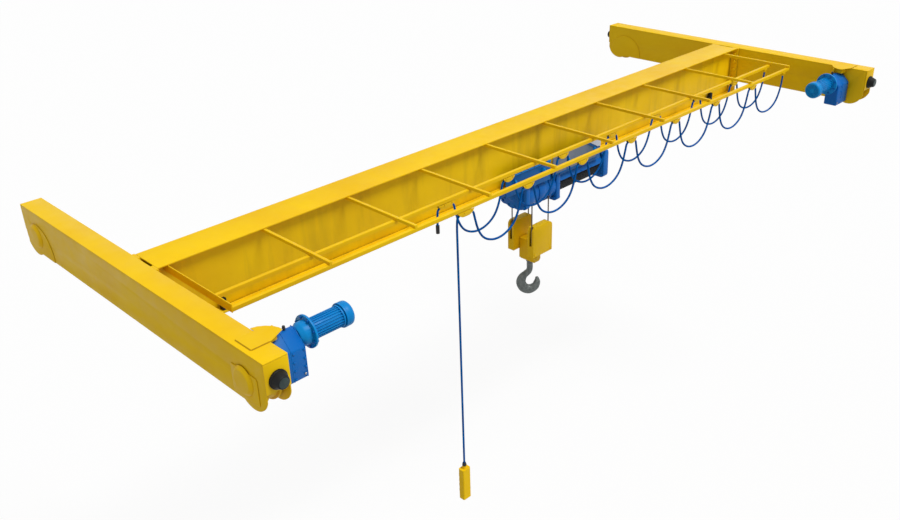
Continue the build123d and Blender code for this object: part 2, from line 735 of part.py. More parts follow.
def hoist():
    """Drum housing with its end cover, middle flange, motor with sheet covers, and end flange in one line."""
    drum = drum_housing()
    save("hoist_drum_housing", drum)
    plate_x = DRUM_START_X - START_FLANGE
    nose_x = DRUM_START_X - END_COVER_LENGTH
    start = case_outline(MID_FLANGE_WIDTH, START_FLANGE_BOTTOM, YOKE_TOP, HOIST_FLANGE_ROUND)
    nose = turned_x((plate_x, 0), (plate_x, END_COVER_R), (nose_x, END_COVER_R), (nose_x, 0))
    save("hoist_end_cover", across(start, plate_x, DRUM_START_X) + Pos(0, 0, HOIST_Z) * nose)
    mid = case_outline(MID_FLANGE_WIDTH, MID_FLANGE_BOTTOM, YOKE_TOP, HOIST_FLANGE_ROUND)
    save("hoist_mid_flange", across(mid, MID_FLANGE_X, HOIST_MOTOR_X))

    axis = Pos(0, 0, HOIST_MOTOR_Z)
    motor = axis * turned_x(
        (HOIST_MOTOR_X, 0),
        (HOIST_MOTOR_X, HOIST_MOTOR_R),
        (END_FLANGE_X, HOIST_MOTOR_R),
        (END_FLANGE_X, 0),
    )
    save("hoist_motor", motor)
    inside = HOIST_MOTOR_R + COVER_GAP
    outside = inside + COVER_SHEET
    far = 2 * outside
    wedge = outline(
        (0, 0),
        (-far * sin(radians(COVER_FROM)), far * cos(radians(COVER_FROM))),
        (-far * sin(radians(COVER_TO)), far * cos(radians(COVER_TO))),
    )
    sheet = (Circle(outside) - Circle(inside)) & wedge
    guard = axis * across(sheet, HOIST_MOTOR_X, END_FLANGE_X)
    save("hoist_motor_covers", guard, mirror(guard, about=Plane.XZ))
    end = case_outline(END_FLANGE_WIDTH, END_FLANGE_BOTTOM, YOKE_TOP, HOIST_FLANGE_ROUND)
    save("hoist_end_flange", across(end, END_FLANGE_X, END_FLANGE_X + END_FLANGE))

    drum_yoke = yoke(DRUM_YOKE_X, HOIST_Z + DRUM_R) - drum
    motor_yoke = yoke(MOTOR_YOKE_X, HOIST_MOTOR_Z + HOIST_MOTOR_R) - motor
    save("trolley_yokes", drum_yoke, motor_yoke)


def yoke(middle, body_top):
    """Cross beam between a bogie's side plates, deep enough to saddle the body under it."""
    half = YOKE_LENGTH / 2
    return block(
        middle - half, middle + half, -TROLLEY_PLATE_Y, TROLLEY_PLATE_Y, body_top - YOKE_SEAT, YOKE_TOP
    )


def trolley():
    """Two four-wheel bogies that ride on the lips of the girder's bottom flange."""
    tread_y = TROLLEY_FLANGE_Y - TROLLEY_TREAD
    rim_y = TROLLEY_FLANGE_Y + TROLLEY_FLANGE
    flange_r = TROLLEY_WHEEL_R + TROLLEY_FLANGE_DEPTH
    roller = turned_y(
        (tread_y, 0),
        (tread_y, TROLLEY_WHEEL_R),
        (TROLLEY_FLANGE_Y, TROLLEY_WHEEL_R),
        (TROLLEY_FLANGE_Y, flange_r),
        (rim_y, flange_r),
        (rim_y, 0),
    )
    half = BOGIE_WHEEL_BASE / 2 + BOGIE_OVERHANG
    cheek = area(-half, half, TROLLEY_PLATE_BOTTOM, TROLLEY_PLATE_TOP)
    cheek = fillet(cheek.vertices().group_by(Axis.Y)[-1], TROLLEY_PLATE_ROUND)
    plate = along_y(cheek, TROLLEY_PLATE_Y, TROLLEY_PLATE_Y + TROLLEY_PLATE)
    rollers = []
    plates = []
    for bogie_x in (DRUM_BOGIE_X, MOTOR_BOGIE_X):
        back_plate = Pos(bogie_x, 0, 0) * plate
        plates += [back_plate, mirror(back_plate, about=Plane.XZ)]
        for offset in (-BOGIE_WHEEL_BASE / 2, BOGIE_WHEEL_BASE / 2):
            back_roller = Pos(bogie_x + offset, 0, TROLLEY_WHEEL_Z) * roller
            rollers += [back_roller, mirror(back_roller, about=Plane.XZ)]
    save("trolley_wheels", *rollers)
    save("trolley_side_plates", *plates)


# Rope falls, hook block and hook

def ropes():
    """Four straight falls from the drum housing down to the sheaves."""
    length = ROPE_TOP_Z - SHEAVE_Z
    falls = [Pos(x, y, ROPE_TOP_Z - length / 2) * Cylinder(ROPE_R, length) for x, y in fall_places()]
    save("rope_falls", *falls)


def sheave():
    """Sheave with its pin, axis on Y, as large as the bottom of its rope groove."""
    half = SHEAVE_WIDTH / 2
    root = SHEAVE_PITCH_R - ROPE_R - RUN_GAP
    pin_end = half + HOUSING_CLEAR + SHEAVE_PIN_REACH - RUN_GAP
    return turned_y(
        (-pin_end, 0),
        (-pin_end, SHEAVE_PIN_R),
        (-half, SHEAVE_PIN_R),
        (-half, root),
        (half, root),
        (half, SHEAVE_PIN_R),
        (pin_end, SHEAVE_PIN_R),
        (pin_end, 0),
    )


def sheave_housing():
    """Round-shouldered box round one sheave, slotted at both ends where the rope falls enter."""
    shell = area(-HOUSING_WIDTH / 2, HOUSING_WIDTH / 2, HOUSING_BOTTOM, HOUSING_TOP)
    shell = fillet(shell.vertices().group_by(Axis.Y)[-1], HOUSING_ROUND)
    body = along_y(shell, -HOUSING_THICKNESS / 2, HOUSING_THICKNESS / 2)
    inside = SHEAVE_WIDTH / 2 + HOUSING_CLEAR
    cavity_r = SHEAVE_PITCH_R + ROPE_R + HOUSING_CLEAR
    pin_end = inside + SHEAVE_PIN_REACH
    pin_hole_r = SHEAVE_PIN_R + RUN_GAP
    hollow = turned_y(
        (-pin_end, 0),
        (-pin_end, pin_hole_r),
        (-inside, pin_hole_r),
        (-inside, cavity_r),
        (inside, cavity_r),
        (inside, pin_hole_r),
        (pin_end, pin_hole_r),
        (pin_end, 0),
    )
    body -= Pos(0, 0, SHEAVE_Z) * hollow
    slot = block(
        SHEAVE_PITCH_R - ROPE_SLOT / 2, HOUSING_WIDTH / 2,
        -ROPE_SLOT / 2, ROPE_SLOT / 2, SHEAVE_Z - ROPE_SLOT_DROP, HOUSING_TOP,
    )
    return body - slot - mirror(slot, about=Plane.YZ)


def hook_block():
    """Two sheave housings side by side, joined by the crosshead that carries the hook."""
    housing = sheave_housing()
    wheel_in = Pos(0, 0, SHEAVE_Z) * sheave()
    places = [Pos(BLOCK_X, -HOUSING_Y, 0), Pos(BLOCK_X, HOUSING_Y, 0)]
    save("hook_block_housings", *[place * housing for place in places])
    save("hook_block_sheaves", *[place * wheel_in for place in places])

    half = CROSSHEAD_WIDTH / 2
    front = outline(
        (-half, CROSSHEAD_TOP),
        (half, CROSSHEAD_TOP),
        (half, CROSSHEAD_BOTTOM + CROSSHEAD_BEVEL),
        (half - CROSSHEAD_BEVEL, CROSSHEAD_BOTTOM),
        (-half + CROSSHEAD_BEVEL, CROSSHEAD_BOTTOM),
        (-half, CROSSHEAD_BOTTOM + CROSSHEAD_BEVEL),
    )
    reach = HOUSING_Y - HOUSING_THICKNESS / 2
    head = along_y(front, -reach, reach)
    depth = SHANK_DEPTH + RUN_GAP
    head -= Pos(0, 0, CROSSHEAD_BOTTOM + depth / 2) * Cylinder(SHANK_R + RUN_GAP, depth)
    save("hook_block_crosshead", Pos(BLOCK_X, 0, 0) * head)


def hook_section(x, z, lean, depth, width):
    """Oval section of the hook; lean is the direction of its outer side, in degrees from +X."""
    outward = (cos(radians(lean)), 0, sin(radians(lean)))
    onward = (-sin(radians(lean)), 0, cos(radians(lean)))
    return Plane(origin=(x, 0, z), x_dir=outward, z_dir=onward) * Ellipse(depth / 2, width / 2)


def hook():
    """Single forged hook: round shank, then oval sections carried round the bowl to the point."""
    neck = BOWL_Z + BOWL_R + BOWL_DEPTH
    sections = [hook_section(0, neck, 180, 2 * SHANK_R, 2 * SHANK_R)]
    bend_x = -NECK_SHIFT_SHARE * SHANK_R
    bend_depth = NECK_DEPTH_SHARE * SHANK_R
    sections.append(hook_section(bend_x, neck - SHANK_R, NECK_LEAN, bend_depth, 2 * SHANK_R))
    for angle, inner, deep, wide in HOOK_SECTIONS:
        depth = deep * BOWL_DEPTH
        radius = inner * BOWL_R + depth / 2
        x = radius * cos(radians(angle))
        z = BOWL_Z + radius * sin(radians(angle))
        sections.append(hook_section(x, z, angle, depth, wide * BOWL_DEPTH))
    body = loft(sections, ruled=True)
    top = CROSSHEAD_BOTTOM + SHANK_DEPTH
    body += Pos(0, 0, (neck + top) / 2) * Cylinder(SHANK_R, top - neck)
    save("hook", Pos(BLOCK_X, 0, 0) * Rot(0, 0, HOOK_TURN) * body)


# Run
os.makedirs("parts", exist_ok=True)
carriages()
wheels()
travel_drives()
girder()
cable_frame()
cables()
pendant()
hoist()
trolley()
ropes()
hook_block()
hook()
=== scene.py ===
"""Looks of a single-girder overhead travelling crane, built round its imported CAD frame.

Lengths are metres in the part's frame: X along the span, -Y towards the cable frame, Z up from the rail tops.
"""

import json
from math import cos, pi, radians, sin, tau

import bmesh
import bpy
import numpy as np
from mathutils import Matrix, Vector

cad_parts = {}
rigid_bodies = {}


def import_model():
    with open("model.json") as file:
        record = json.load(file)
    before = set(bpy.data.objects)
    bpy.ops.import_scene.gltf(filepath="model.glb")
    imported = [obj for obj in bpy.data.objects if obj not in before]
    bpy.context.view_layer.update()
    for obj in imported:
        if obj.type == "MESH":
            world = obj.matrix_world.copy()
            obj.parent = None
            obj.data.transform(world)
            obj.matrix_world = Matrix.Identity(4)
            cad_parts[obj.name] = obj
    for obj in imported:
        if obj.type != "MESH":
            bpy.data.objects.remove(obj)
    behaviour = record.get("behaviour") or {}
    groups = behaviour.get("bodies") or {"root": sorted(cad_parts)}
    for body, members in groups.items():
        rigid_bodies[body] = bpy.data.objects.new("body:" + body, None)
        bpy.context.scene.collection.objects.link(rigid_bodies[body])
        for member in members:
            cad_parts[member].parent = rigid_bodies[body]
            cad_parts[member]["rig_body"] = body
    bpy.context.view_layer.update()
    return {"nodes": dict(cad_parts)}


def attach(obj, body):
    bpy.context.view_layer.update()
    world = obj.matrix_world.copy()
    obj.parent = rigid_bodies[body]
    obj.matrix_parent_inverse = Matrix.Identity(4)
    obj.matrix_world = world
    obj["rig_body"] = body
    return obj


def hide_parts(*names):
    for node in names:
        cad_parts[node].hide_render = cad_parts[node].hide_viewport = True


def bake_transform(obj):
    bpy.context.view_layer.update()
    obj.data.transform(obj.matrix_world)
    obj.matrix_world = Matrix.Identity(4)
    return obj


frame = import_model()
NODES = frame["nodes"]

# Camera, fitted to the photograph's vanishing lines
CAMERA_PLACE = (-6.0658, -5.5411, 3.1936)
CAMERA_YAW = 0.7577
CAMERA_PITCH = 0.4719
CAMERA_ROLL = -0.0355
CAMERA_LENS_MM = 37.629
CAMERA_SENSOR_MM = 36.0

# End carriages, repeated from the CAD source
RAIL_X = 3.750
AXLE_Y = 1.430
AXLE_Z = 0.160
CARRIAGE_END_Y = 1.655
CARRIAGE_INNER_X = 3.665
PAD_FACE_X = 3.841
BUFFER_Z = 0.230

# Travel drives
REDUCER_X = (-3.532, -3.428)
REDUCER_FRONT_Y = -1.478
REDUCER_TOP_Z = 0.315
MOTOR_Y = -1.385
MOTOR_Z = 0.250
MOTOR_FLANGE_X = (-3.355, -3.340)
MOTOR_END_X = -3.095
LAP_EDGE_X = -3.795
LAP_FRONT_Y = -1.485
LAP_BACK_Y = -1.320
LAP_BOTTOM_Z = 0.365

# Girder
GIRDER_END_X = 3.645
WEB_FACE_Y = 0.094
WEB_TOP_Z = 0.355
WEB_FOOT_Z = -0.150

# Hoist and trolley
HOIST_Z = -0.341
COVER_NOSE_X = 0.010
START_FLANGE_X = 0.035
MID_FLANGE_X = (0.472, 0.528)
END_FLANGE_X = (1.203, 1.281)
HOIST_MOTOR_Z = -0.330
HOIST_MOTOR_R = 0.138
SHEET_R = 0.157
PLATE_FACE_Y = 0.179
TROLLEY_AXLE_X = (-0.150, 0.250, 0.610, 1.010)
TROLLEY_AXLE_Z = -0.095

# Rope falls, hook block and hook
BLOCK_X = 0.276
FALL_OFFSET_X = 0.120
FALL_Y = 0.128
ROPE_R = 0.0065
ROPE_TOP_Z = -0.365
SHEAVE_Z = -0.835
CROSSHEAD_BOTTOM_Z = -1.108
CROSSHEAD_FACE_Y = 0.0905
HOUSING_FACE_Y = 0.1655
HOOK_TURN = radians(-35)
SHANK_R = 0.031
SHANK_TOP_Z = -1.040
SHANK_STEPS_Z = (-1.110, -1.160)
EGG_FROM_Z = -1.20
EGG_OVER = 0.03
EGG_SHARE = 0.16
POINT_SHARE = 0.45
BOWL_R = 0.049
BOWL_DEPTH = 0.096
BOWL_Z = -1.351
HOOK_SECTIONS = [
    (118, 1.20, 0.74, 0.64),
    (150, 0.92, 0.94, 0.68),
    (185, 0.84, 1.02, 0.72),
    (230, 0.84, 1.06, 0.76),
    (270, 0.92, 1.04, 0.76),
    (310, 0.96, 0.88, 0.70),
    (342, 0.94, 0.72, 0.60),
    (361, 1.04, 0.56, 0.50),
    (377, 1.24, 0.38, 0.38),
]

# Cable route
INNER_RAIL_Y = -0.700
OUTER_RAIL_Y = -0.914
SADDLE_COUNT = 7
SADDLE_LEAD_X = -1.494
SADDLE_PITCH = 0.694
SADDLE_CORNER = 0.063
SADDLE_CHEEK_Y = 0.0146
LEAD_EXTRA = 0.038
CABLE_R = 0.009
CABLE_ARC_Z = 0.282
DROP_LEAN = 0.009
DROP_BEND = 0.084
PLUG_DROP = 0.060
GLAND_TOP_Z = -2.057
DROP_X = SADDLE_LEAD_X - SADDLE_CORNER - LEAD_EXTRA - DROP_LEAN
LOOP_SIDE = [(0.0, 0.0), (0.019, -0.080), (0.053, -0.198), (0.114, -0.290), (0.224, -0.343)]
LOOP = [(SADDLE_CORNER + along, drop) for along, drop in LOOP_SIDE]
LOOP += [(SADDLE_PITCH - SADDLE_CORNER - along, drop) for along, drop in LOOP_SIDE[::-1]]
END_SHIFT = 0.020
END_DROP = -0.014
END_LOOP = LOOP[:5] + [(along + END_SHIFT, drop) for along, drop in LOOP[5:9]]
END_LOOP.append((END_LOOP[-1][0], END_DROP))

# Thread diameters of the bolts, nuts and screws
M6, M8, M9, M10, M16, M20, M24 = 0.006, 0.008, 0.009, 0.010, 0.016, 0.020, 0.024


# Shapes: every shape is a pair of arrays, points (n, 3) and quads (m, 4)

def grid(points, wrap_columns=False):
    """Shape from points on a grid (rows, columns, 3): one quad between each two rows and two columns."""
    rows, columns = points.shape[:2]
    row, column = np.meshgrid(np.arange(rows - 1), np.arange(columns - (not wrap_columns)), indexing="ij")
    next_column = (column + 1) % columns
    corners = [
        row * columns + column,
        row * columns + next_column,
        (row + 1) * columns + next_column,
        (row + 1) * columns + column,
    ]
    return points.reshape(-1, 3), np.stack(corners, axis=-1).reshape(-1, 4)


def merged(shapes):
    """Several shapes as one: points in a row, quads renumbered to match."""
    counts = [len(points) for points, _ in shapes]
    starts = np.concatenate([[0], np.cumsum(counts)[:-1]])
    points = np.concatenate([points for points, _ in shapes])
    quads = np.concatenate([quads + start for (_, quads), start in zip(shapes, starts)])
    return points, quads


def turned(profile, steps=48):
    """Surface of revolution about Z: each profile row (radius, height) goes round evenly spaced angles."""
    radius, height = np.asarray(profile, float).T
    angle = np.linspace(0, tau, steps, endpoint=False)
    ring = np.stack([np.cos(angle), np.sin(angle), np.zeros(steps)], axis=-1)
    points = radius[:, None, None] * ring
    points[:, :, 2] += height[:, None]
    return grid(points, wrap_columns=True)


TURNS = {
    "+x": np.array([[0, 0, 1], [0, 1, 0], [-1, 0, 0]], float),
    "-x": np.array([[0, 0, -1], [0, 1, 0], [1, 0, 0]], float),
    "+y": np.array([[1, 0, 0], [0, 0, 1], [0, -1, 0]], float),
    "-y": np.array([[1, 0, 0], [0, 0, -1], [0, 1, 0]], float),
    "+z": np.eye(3),
}


def placed(shape, places, aim):
    """Copies of a shape drawn along +Z, turned to point along aim and moved to each of the places."""
    points, quads = shape
    places = np.asarray(places, float).reshape(-1, 3)
    turn = TURNS[aim] if isinstance(aim, str) else aim
    every = places[:, None, :] + (points @ turn.T)[None]
    shifts = np.arange(len(places))[:, None, None] * len(points)
    return every.reshape(-1, 3), (quads[None] + shifts).reshape(-1, 4)


def both_ends(shape, places, aim):
    """Copies on the left carriage's side, and the same on the right one with X turned about."""
    places = np.asarray(places, float).reshape(-1, 3)
    across = {"+x": "-x", "-x": "+x"}.get(aim, aim)
    return merged([placed(shape, places, aim), placed(shape, places * (-1, 1, 1), across)])


def bolt(thread):
    """Hexagon head with a chamfered top on a round washer, in the usual shares of the thread's diameter."""
    head = turned([(0.0, 0.84), (0.74, 0.84), (0.92, 0.74), (0.92, 0.18), (0.0, 0.18)], steps=6)
    washer = turned([(0.0, 0.18), (1.06, 0.18), (1.06, 0.0), (0.0, 0.0)], steps=14)
    points, quads = merged([head, washer])
    return points * thread, quads


def stud(thread):
    """Hexagon nut on a washer with the rounded end of its thread standing out of it."""
    tip = turned([(0.0, 1.3), (0.36, 1.28), (0.48, 1.18), (0.48, 0.8), (0.0, 0.8)], steps=12)
    nut, quads = merged([tip, bolt(1.0)])
    return nut * thread, quads


def cap_screw(thread):
    """Low round head with a rounded rim, in the usual shares of the thread's diameter."""
    profile = [(0.0, 0.55), (0.62, 0.5), (0.86, 0.34), (0.92, 0.1), (0.92, 0.0), (0.0, 0.0)]
    points, quads = turned(profile, steps=14)
    return points * thread, quads


def ring_of(centre, radius, count, axis, start=0.0):
    """Evenly spaced places on a circle round centre, in the plane across axis."""
    angle = start + np.linspace(0, tau, count, endpoint=False)
    flat = np.stack([np.cos(angle), np.sin(angle), np.zeros(count)], axis=-1) * radius
    return np.asarray(centre) + flat @ TURNS[axis].T


def lattice(xs, ys, zs):
    """Every place whose X, Y and Z are taken from the three lists."""
    return np.stack(np.meshgrid(xs, ys, zs, indexing="ij"), axis=-1).reshape(-1, 3)


def weld(start, end, first, second, leg=0.006, ripple=0.014):
    """Fillet weld along a line: a quarter-round between two leg directions.

    Its radius swells with the size of a sine, once for each ripple, and runs out at both ends.
    """
    start, end = np.asarray(start, float), np.asarray(end, float)
    length = np.linalg.norm(end - start)
    count = max(8, int(length / ripple * 3))
    along = np.linspace(0, 1, count)
    swell = leg * (0.86 + 0.14 * np.abs(np.sin(pi * along * length / ripple)))
    swell *= np.minimum(1.0, 8.0 * np.minimum(along, 1 - along) * length / leg + 0.02)
    turn = np.linspace(0, pi / 2, 4)
    section = np.outer(np.cos(turn), first) + np.outer(np.sin(turn), second)
    section = np.concatenate([section, np.zeros((1, 3))])
    spine = start + along[:, None] * (end - start)
    return grid(spine[:, None, :] + swell[:, None, None] * section[None], wrap_columns=True)


def slab(corners, thickness, axis="y", chamfer=0.0015):
    """Flat plate from an outline across an axis, drawn in to a chamfer on both faces.

    The outline is (x, z) for a plate grown along -Y, (y, z) along +X and (x, y) along +Z.
    """
    outline = np.asarray(corners, float)
    middle = outline.mean(axis=0)
    reach = np.linalg.norm(outline - middle, axis=1, keepdims=True)
    inset = outline + (middle - outline) / reach * chamfer
    rings = [(middle + 0 * inset, 0.0), (inset, 0.0), (outline, chamfer), (outline, thickness - chamfer)]
    rings += [(inset, thickness), (middle + 0 * inset, thickness)]
    order = {"x": (2, 0, 1), "y": (0, 2, 1), "z": (0, 1, 2)}[axis]
    grow = -1.0 if axis == "y" else 1.0
    rows = [np.column_stack([ring, np.full(len(ring), grow * height)])[:, order] for ring, height in rings]
    return grid(np.stack(rows), wrap_columns=True)


def moved(shape, by):
    """Shape shifted by a vector."""
    points, quads = shape
    return points + np.asarray(by, float), quads


def mirrored(shape):
    """Shape on the left side together with its mirror image on the right."""
    points, quads = shape
    return merged([shape, (points * (-1, 1, 1), quads[:, ::-1])])


def fit_mesh(name, shape, sharp=40.0):
    """Mesh from a shape: poles and seams merged, faces turned outwards, smooth up to the sharp angle."""
    points, quads = shape
    mesh = bpy.data.meshes.new(name)
    mesh.from_pydata(points.tolist(), [], quads.tolist())
    work = bmesh.new()
    work.from_mesh(mesh)
    bmesh.ops.remove_doubles(work, verts=work.verts, dist=1e-6)
    bmesh.ops.dissolve_degenerate(work, dist=1e-7, edges=work.edges)
    bmesh.ops.recalc_face_normals(work, faces=work.faces)
    work.to_mesh(mesh)
    work.free()
    mesh.shade_smooth()
    mesh.set_sharp_from_angle(angle=radians(sharp))
    return mesh


def piece(name, shape, finish, body, replaces=(), sharp=40.0):
    """New visible piece from a shape, riding on a body."""
    made = bpy.data.objects.new(name, fit_mesh(name, shape, sharp))
    bpy.context.scene.collection.objects.link(made)
    made.data.materials.append(finish)
    if replaces:
        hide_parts(*replaces)
    if body:
        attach(made, body)
    return made


def rounded(node, finish, edge, slot=None):
    """Copy of a CAD node with its facets joined and its edges rounded to a width, in place of the node."""
    source = NODES[node]
    mesh = bpy.data.meshes.new(node + "_body")
    work = bmesh.new()
    work.from_mesh(source.data)
    bmesh.ops.remove_doubles(work, verts=work.verts, dist=2e-6)
    bmesh.ops.dissolve_limit(work, angle_limit=radians(0.6), verts=work.verts, edges=work.edges)
    work.to_mesh(mesh)
    work.free()
    mesh.shade_smooth()
    made = bpy.data.objects.new(node + "_body", mesh)
    bpy.context.scene.collection.objects.link(made)
    mesh.materials.clear()
    mesh.materials.append(finish)
    bevel = made.modifiers.new("edges", "BEVEL")
    bevel.width = edge
    bevel.segments = 2
    bevel.limit_method = "ANGLE"
    bevel.angle_limit = radians(34)
    bevel.harden_normals = True
    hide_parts(node)
    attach(made, source["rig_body"])
    return made


# Finishes

# Share of the dark tone painted into corners and gaps as painted shade.
CORNER_SHADE = 0.7


def new_finish(name):
    """Empty material with its shader, and a helper that adds a node with its inputs set or linked."""
    made = bpy.data.materials.new(name)
    made.use_nodes = True
    nodes, links = made.node_tree.nodes, made.node_tree.links
    skin = nodes["Principled BSDF"]

    def add(kind, **inputs):
        new = nodes.new("ShaderNode" + kind)
        for key, value in inputs.items():
            socket = new.inputs[key.replace("_", " ")]
            if isinstance(value, bpy.types.NodeSocket):
                links.new(value, socket)
            else:
                socket.default_value = value
        return new

    return made, skin, add, links


def blend_colours(add, factor, first, second):
    """Colour between two others by a factor."""
    mix = add("Mix")
    mix.data_type = "RGBA"
    for socket, value in ((mix.inputs[0], factor), (mix.inputs[6], first), (mix.inputs[7], second)):
        if isinstance(value, bpy.types.NodeSocket):
            mix.id_data.links.new(value, socket)
        else:
            socket.default_value = value if isinstance(value, float) else (*value, 1.0)
    return mix.outputs[2]


def ranged(add, value, low, high, to_low=0.0, to_high=1.0):
    """Value carried from one range to another and held at its ends."""
    made = add("MapRange", Value=value, From_Min=low, From_Max=high, To_Min=to_low, To_Max=to_high)
    return made.outputs[0]


def product(add, links, first, second):
    """Two values multiplied."""
    made = add("Math")
    made.operation = "MULTIPLY"
    links.new(first, made.inputs[0])
    links.new(second, made.inputs[1])
    return made.outputs[0]


def srgb(red, green, blue):
    """Linear colour from 8-bit screen values."""
    value = np.array([red, green, blue]) / 255.0
    return tuple(np.where(value <= 0.04045, value / 12.92, ((value + 0.055) / 1.055) ** 2.4).tolist())


def enamel(name, colour, shade, dark_tone, rough=0.45, streaks=0.0, peel=0.12, shine=0.14):
    """Sprayed enamel: slow drift between two tones, painted shade darkening corners and gaps by an
    ambient-occlusion mask, darker vertical streaks, orange-peel bump.
    """
    made, skin, add, links = new_finish(name)
    place = add("TexCoord").outputs["Object"]
    drift = add("TexNoise", Vector=place, Scale=1.4, Detail=4.0, Roughness=0.6).outputs[0]
    tone = blend_colours(add, ranged(add, drift, 0.38, 0.66), colour, shade)
    patch = add("TexNoise", Vector=place, Scale=9.0, Detail=5.0, Roughness=0.65).outputs[0]
    # Painted shade: an ambient-occlusion mask darkens corners, creases and gaps towards the dark tone, in
    # noisy patches.
    corner = add("AmbientOcclusion", Distance=0.04)
    corner.samples = 6
    hidden = ranged(add, corner.outputs["AO"], 0.25, 0.9, 1.0, 0.0)
    shade_share = product(add, links, hidden, ranged(add, patch, 0.3, 0.7, 0.3 * CORNER_SHADE, CORNER_SHADE))
    tone = blend_colours(add, shade_share, tone, dark_tone)
    # Darker vertical streaks: noise stretched along Z, blended towards the dark tone.
    if streaks:
        tall_place = add("Mapping", Vector=place, Scale=(5.0, 5.0, 0.5)).outputs[0]
        streak = add("TexNoise", Vector=tall_place, Scale=1.0, Detail=5.0, Roughness=0.6).outputs[0]
        tone = blend_colours(add, ranged(add, streak, 0.5, 0.78, 0.0, streaks), tone, dark_tone)
    links.new(tone, skin.inputs["Base Color"])
    links.new(ranged(add, patch, 0.3, 0.7, rough - 0.06, rough + 0.1), skin.inputs["Roughness"])
    fine = add("TexNoise", Vector=place, Scale=420.0, Detail=2.0).outputs[0]
    bump = add("Bump", Strength=peel, Distance=0.0006, Height=fine)
    links.new(bump.outputs[0], skin.inputs["Normal"])
    skin.inputs["Specular IOR Level"].default_value = shine
    return made


def bare_metal(name, colour, shade, rough, metal=0.85, grain=60.0, bumpy=0.2):
    """Bare metal: two tones in a fine grain under slow stains, roughness and bump from the same grain."""
    made, skin, add, links = new_finish(name)
    place = add("TexCoord").outputs["Object"]
    streak = add("TexNoise", Vector=place, Scale=grain, Detail=5.0, Roughness=0.62).outputs[0]
    slow = add("TexNoise", Vector=place, Scale=7.0, Detail=3.0).outputs[0]
    tone = blend_colours(add, ranged(add, streak, 0.3, 0.7), colour, shade)
    tone = blend_colours(add, ranged(add, slow, 0.5, 0.8, 0.0, 0.5), tone, shade)
    links.new(tone, skin.inputs["Base Color"])
    links.new(ranged(add, streak, 0.3, 0.7, rough - 0.08, rough + 0.1), skin.inputs["Roughness"])
    bump = add("Bump", Strength=bumpy, Distance=0.0008, Height=streak)
    links.new(bump.outputs[0], skin.inputs["Normal"])
    skin.inputs["Metallic"].default_value = metal
    return made


def moulded(name, colour, shade, rough, grain=700.0, bumpy=0.15, shine=0.3):
    """Moulded plastic or rubber: two close tones in soft patches over a fine grain."""
    made, skin, add, links = new_finish(name)
    place = add("TexCoord").outputs["Object"]
    patch = add("TexNoise", Vector=place, Scale=14.0, Detail=4.0).outputs[0]
    links.new(blend_colours(add, ranged(add, patch, 0.35, 0.7), colour, shade), skin.inputs["Base Color"])
    links.new(ranged(add, patch, 0.3, 0.7, rough - 0.06, rough + 0.08), skin.inputs["Roughness"])
    fine = add("TexNoise", Vector=place, Scale=grain, Detail=2.0).outputs[0]
    links.new(add("Bump", Strength=bumpy, Distance=0.0004, Height=fine).outputs[0], skin.inputs["Normal"])
    skin.inputs["Specular IOR Level"].default_value = shine
    return made


# Each enamel's third colour is its dark tone: painted shade in corners and gaps, and the colour of any darker
# streaks.
YELLOW = srgb(253, 208, 8)
YELLOW_SHADE = srgb(246, 196, 8)
YELLOW_CORNER_SHADE = srgb(150, 112, 22)
yellow = enamel("yellow_enamel", YELLOW, YELLOW_SHADE, YELLOW_CORNER_SHADE)
yellow_web = enamel("yellow_enamel_web", YELLOW, srgb(240, 192, 10), srgb(150, 116, 20), streaks=0.42)
yellow_block = enamel(
    "yellow_enamel_block", srgb(248, 202, 12), srgb(236, 186, 12), srgb(120, 88, 20), streaks=0.2,
)
# Darker yellow for the lap welds: painted shade for the dark shadow line along the lap plate's edges.
lap_seam_shade_yellow = enamel(
    "yellow_enamel_seam_shade", srgb(196, 150, 10), srgb(172, 128, 10), srgb(90, 64, 12), rough=0.55,
)
blue = enamel("blue_enamel", srgb(0, 148, 222), srgb(0, 128, 206), srgb(2, 48, 104), rough=0.36, shine=0.2)
blue_case = enamel(
    "blue_enamel_case", srgb(0, 112, 200), srgb(0, 94, 182), srgb(2, 36, 92), rough=0.36, shine=0.2,
)
blue_dark = enamel("blue_enamel_trolley", srgb(0, 104, 180), srgb(0, 86, 154), srgb(2, 34, 74), rough=0.4)
casting = enamel("dark_casting", srgb(58, 62, 66), srgb(44, 48, 52), srgb(20, 20, 22), rough=0.5, peel=0.3)
panel_grey = enamel("panel_grey", srgb(136, 140, 152), srgb(100, 116, 134), srgb(60, 66, 76), rough=0.45)
# Near-white paint for the guard at the control box's end: a painted highlight where light catches that end.
highlight_pale = enamel("highlight_pale", srgb(232, 234, 240), srgb(214, 218, 226), srgb(120, 124, 130), rough=0.45)
forged = bare_metal(
    "forged_steel", srgb(118, 124, 122), srgb(82, 88, 87), 0.42, metal=0.5, grain=45.0, bumpy=0.3,
)
wheel_steel = bare_metal("rolled_steel", srgb(150, 150, 150), srgb(104, 102, 98), 0.38, grain=30.0)
zinc = bare_metal("zinc_bolts", srgb(176, 178, 180), srgb(138, 140, 142), 0.36, grain=120.0)
rope_steel = bare_metal("rope_wire", srgb(112, 104, 98), srgb(70, 64, 60), 0.5, grain=260.0, metal=0.6)
rubber = moulded("black_rubber", srgb(14, 15, 16), srgb(24, 26, 27), 0.5, shine=0.2)
# Buffer-nose rubber: grey-green, made lighter as a painted highlight on the flat nose face.
nose_rubber_highlight = moulded("nose_rubber_highlight", srgb(56, 72, 70), srgb(40, 52, 52), 0.45)
plastic = moulded("black_plastic", srgb(28, 29, 32), srgb(40, 41, 44), 0.45)
sheath = moulded("blue_sheath", srgb(0, 96, 178), srgb(0, 78, 152), 0.55, grain=500.0, shine=0.05)


# Camera, floor and light

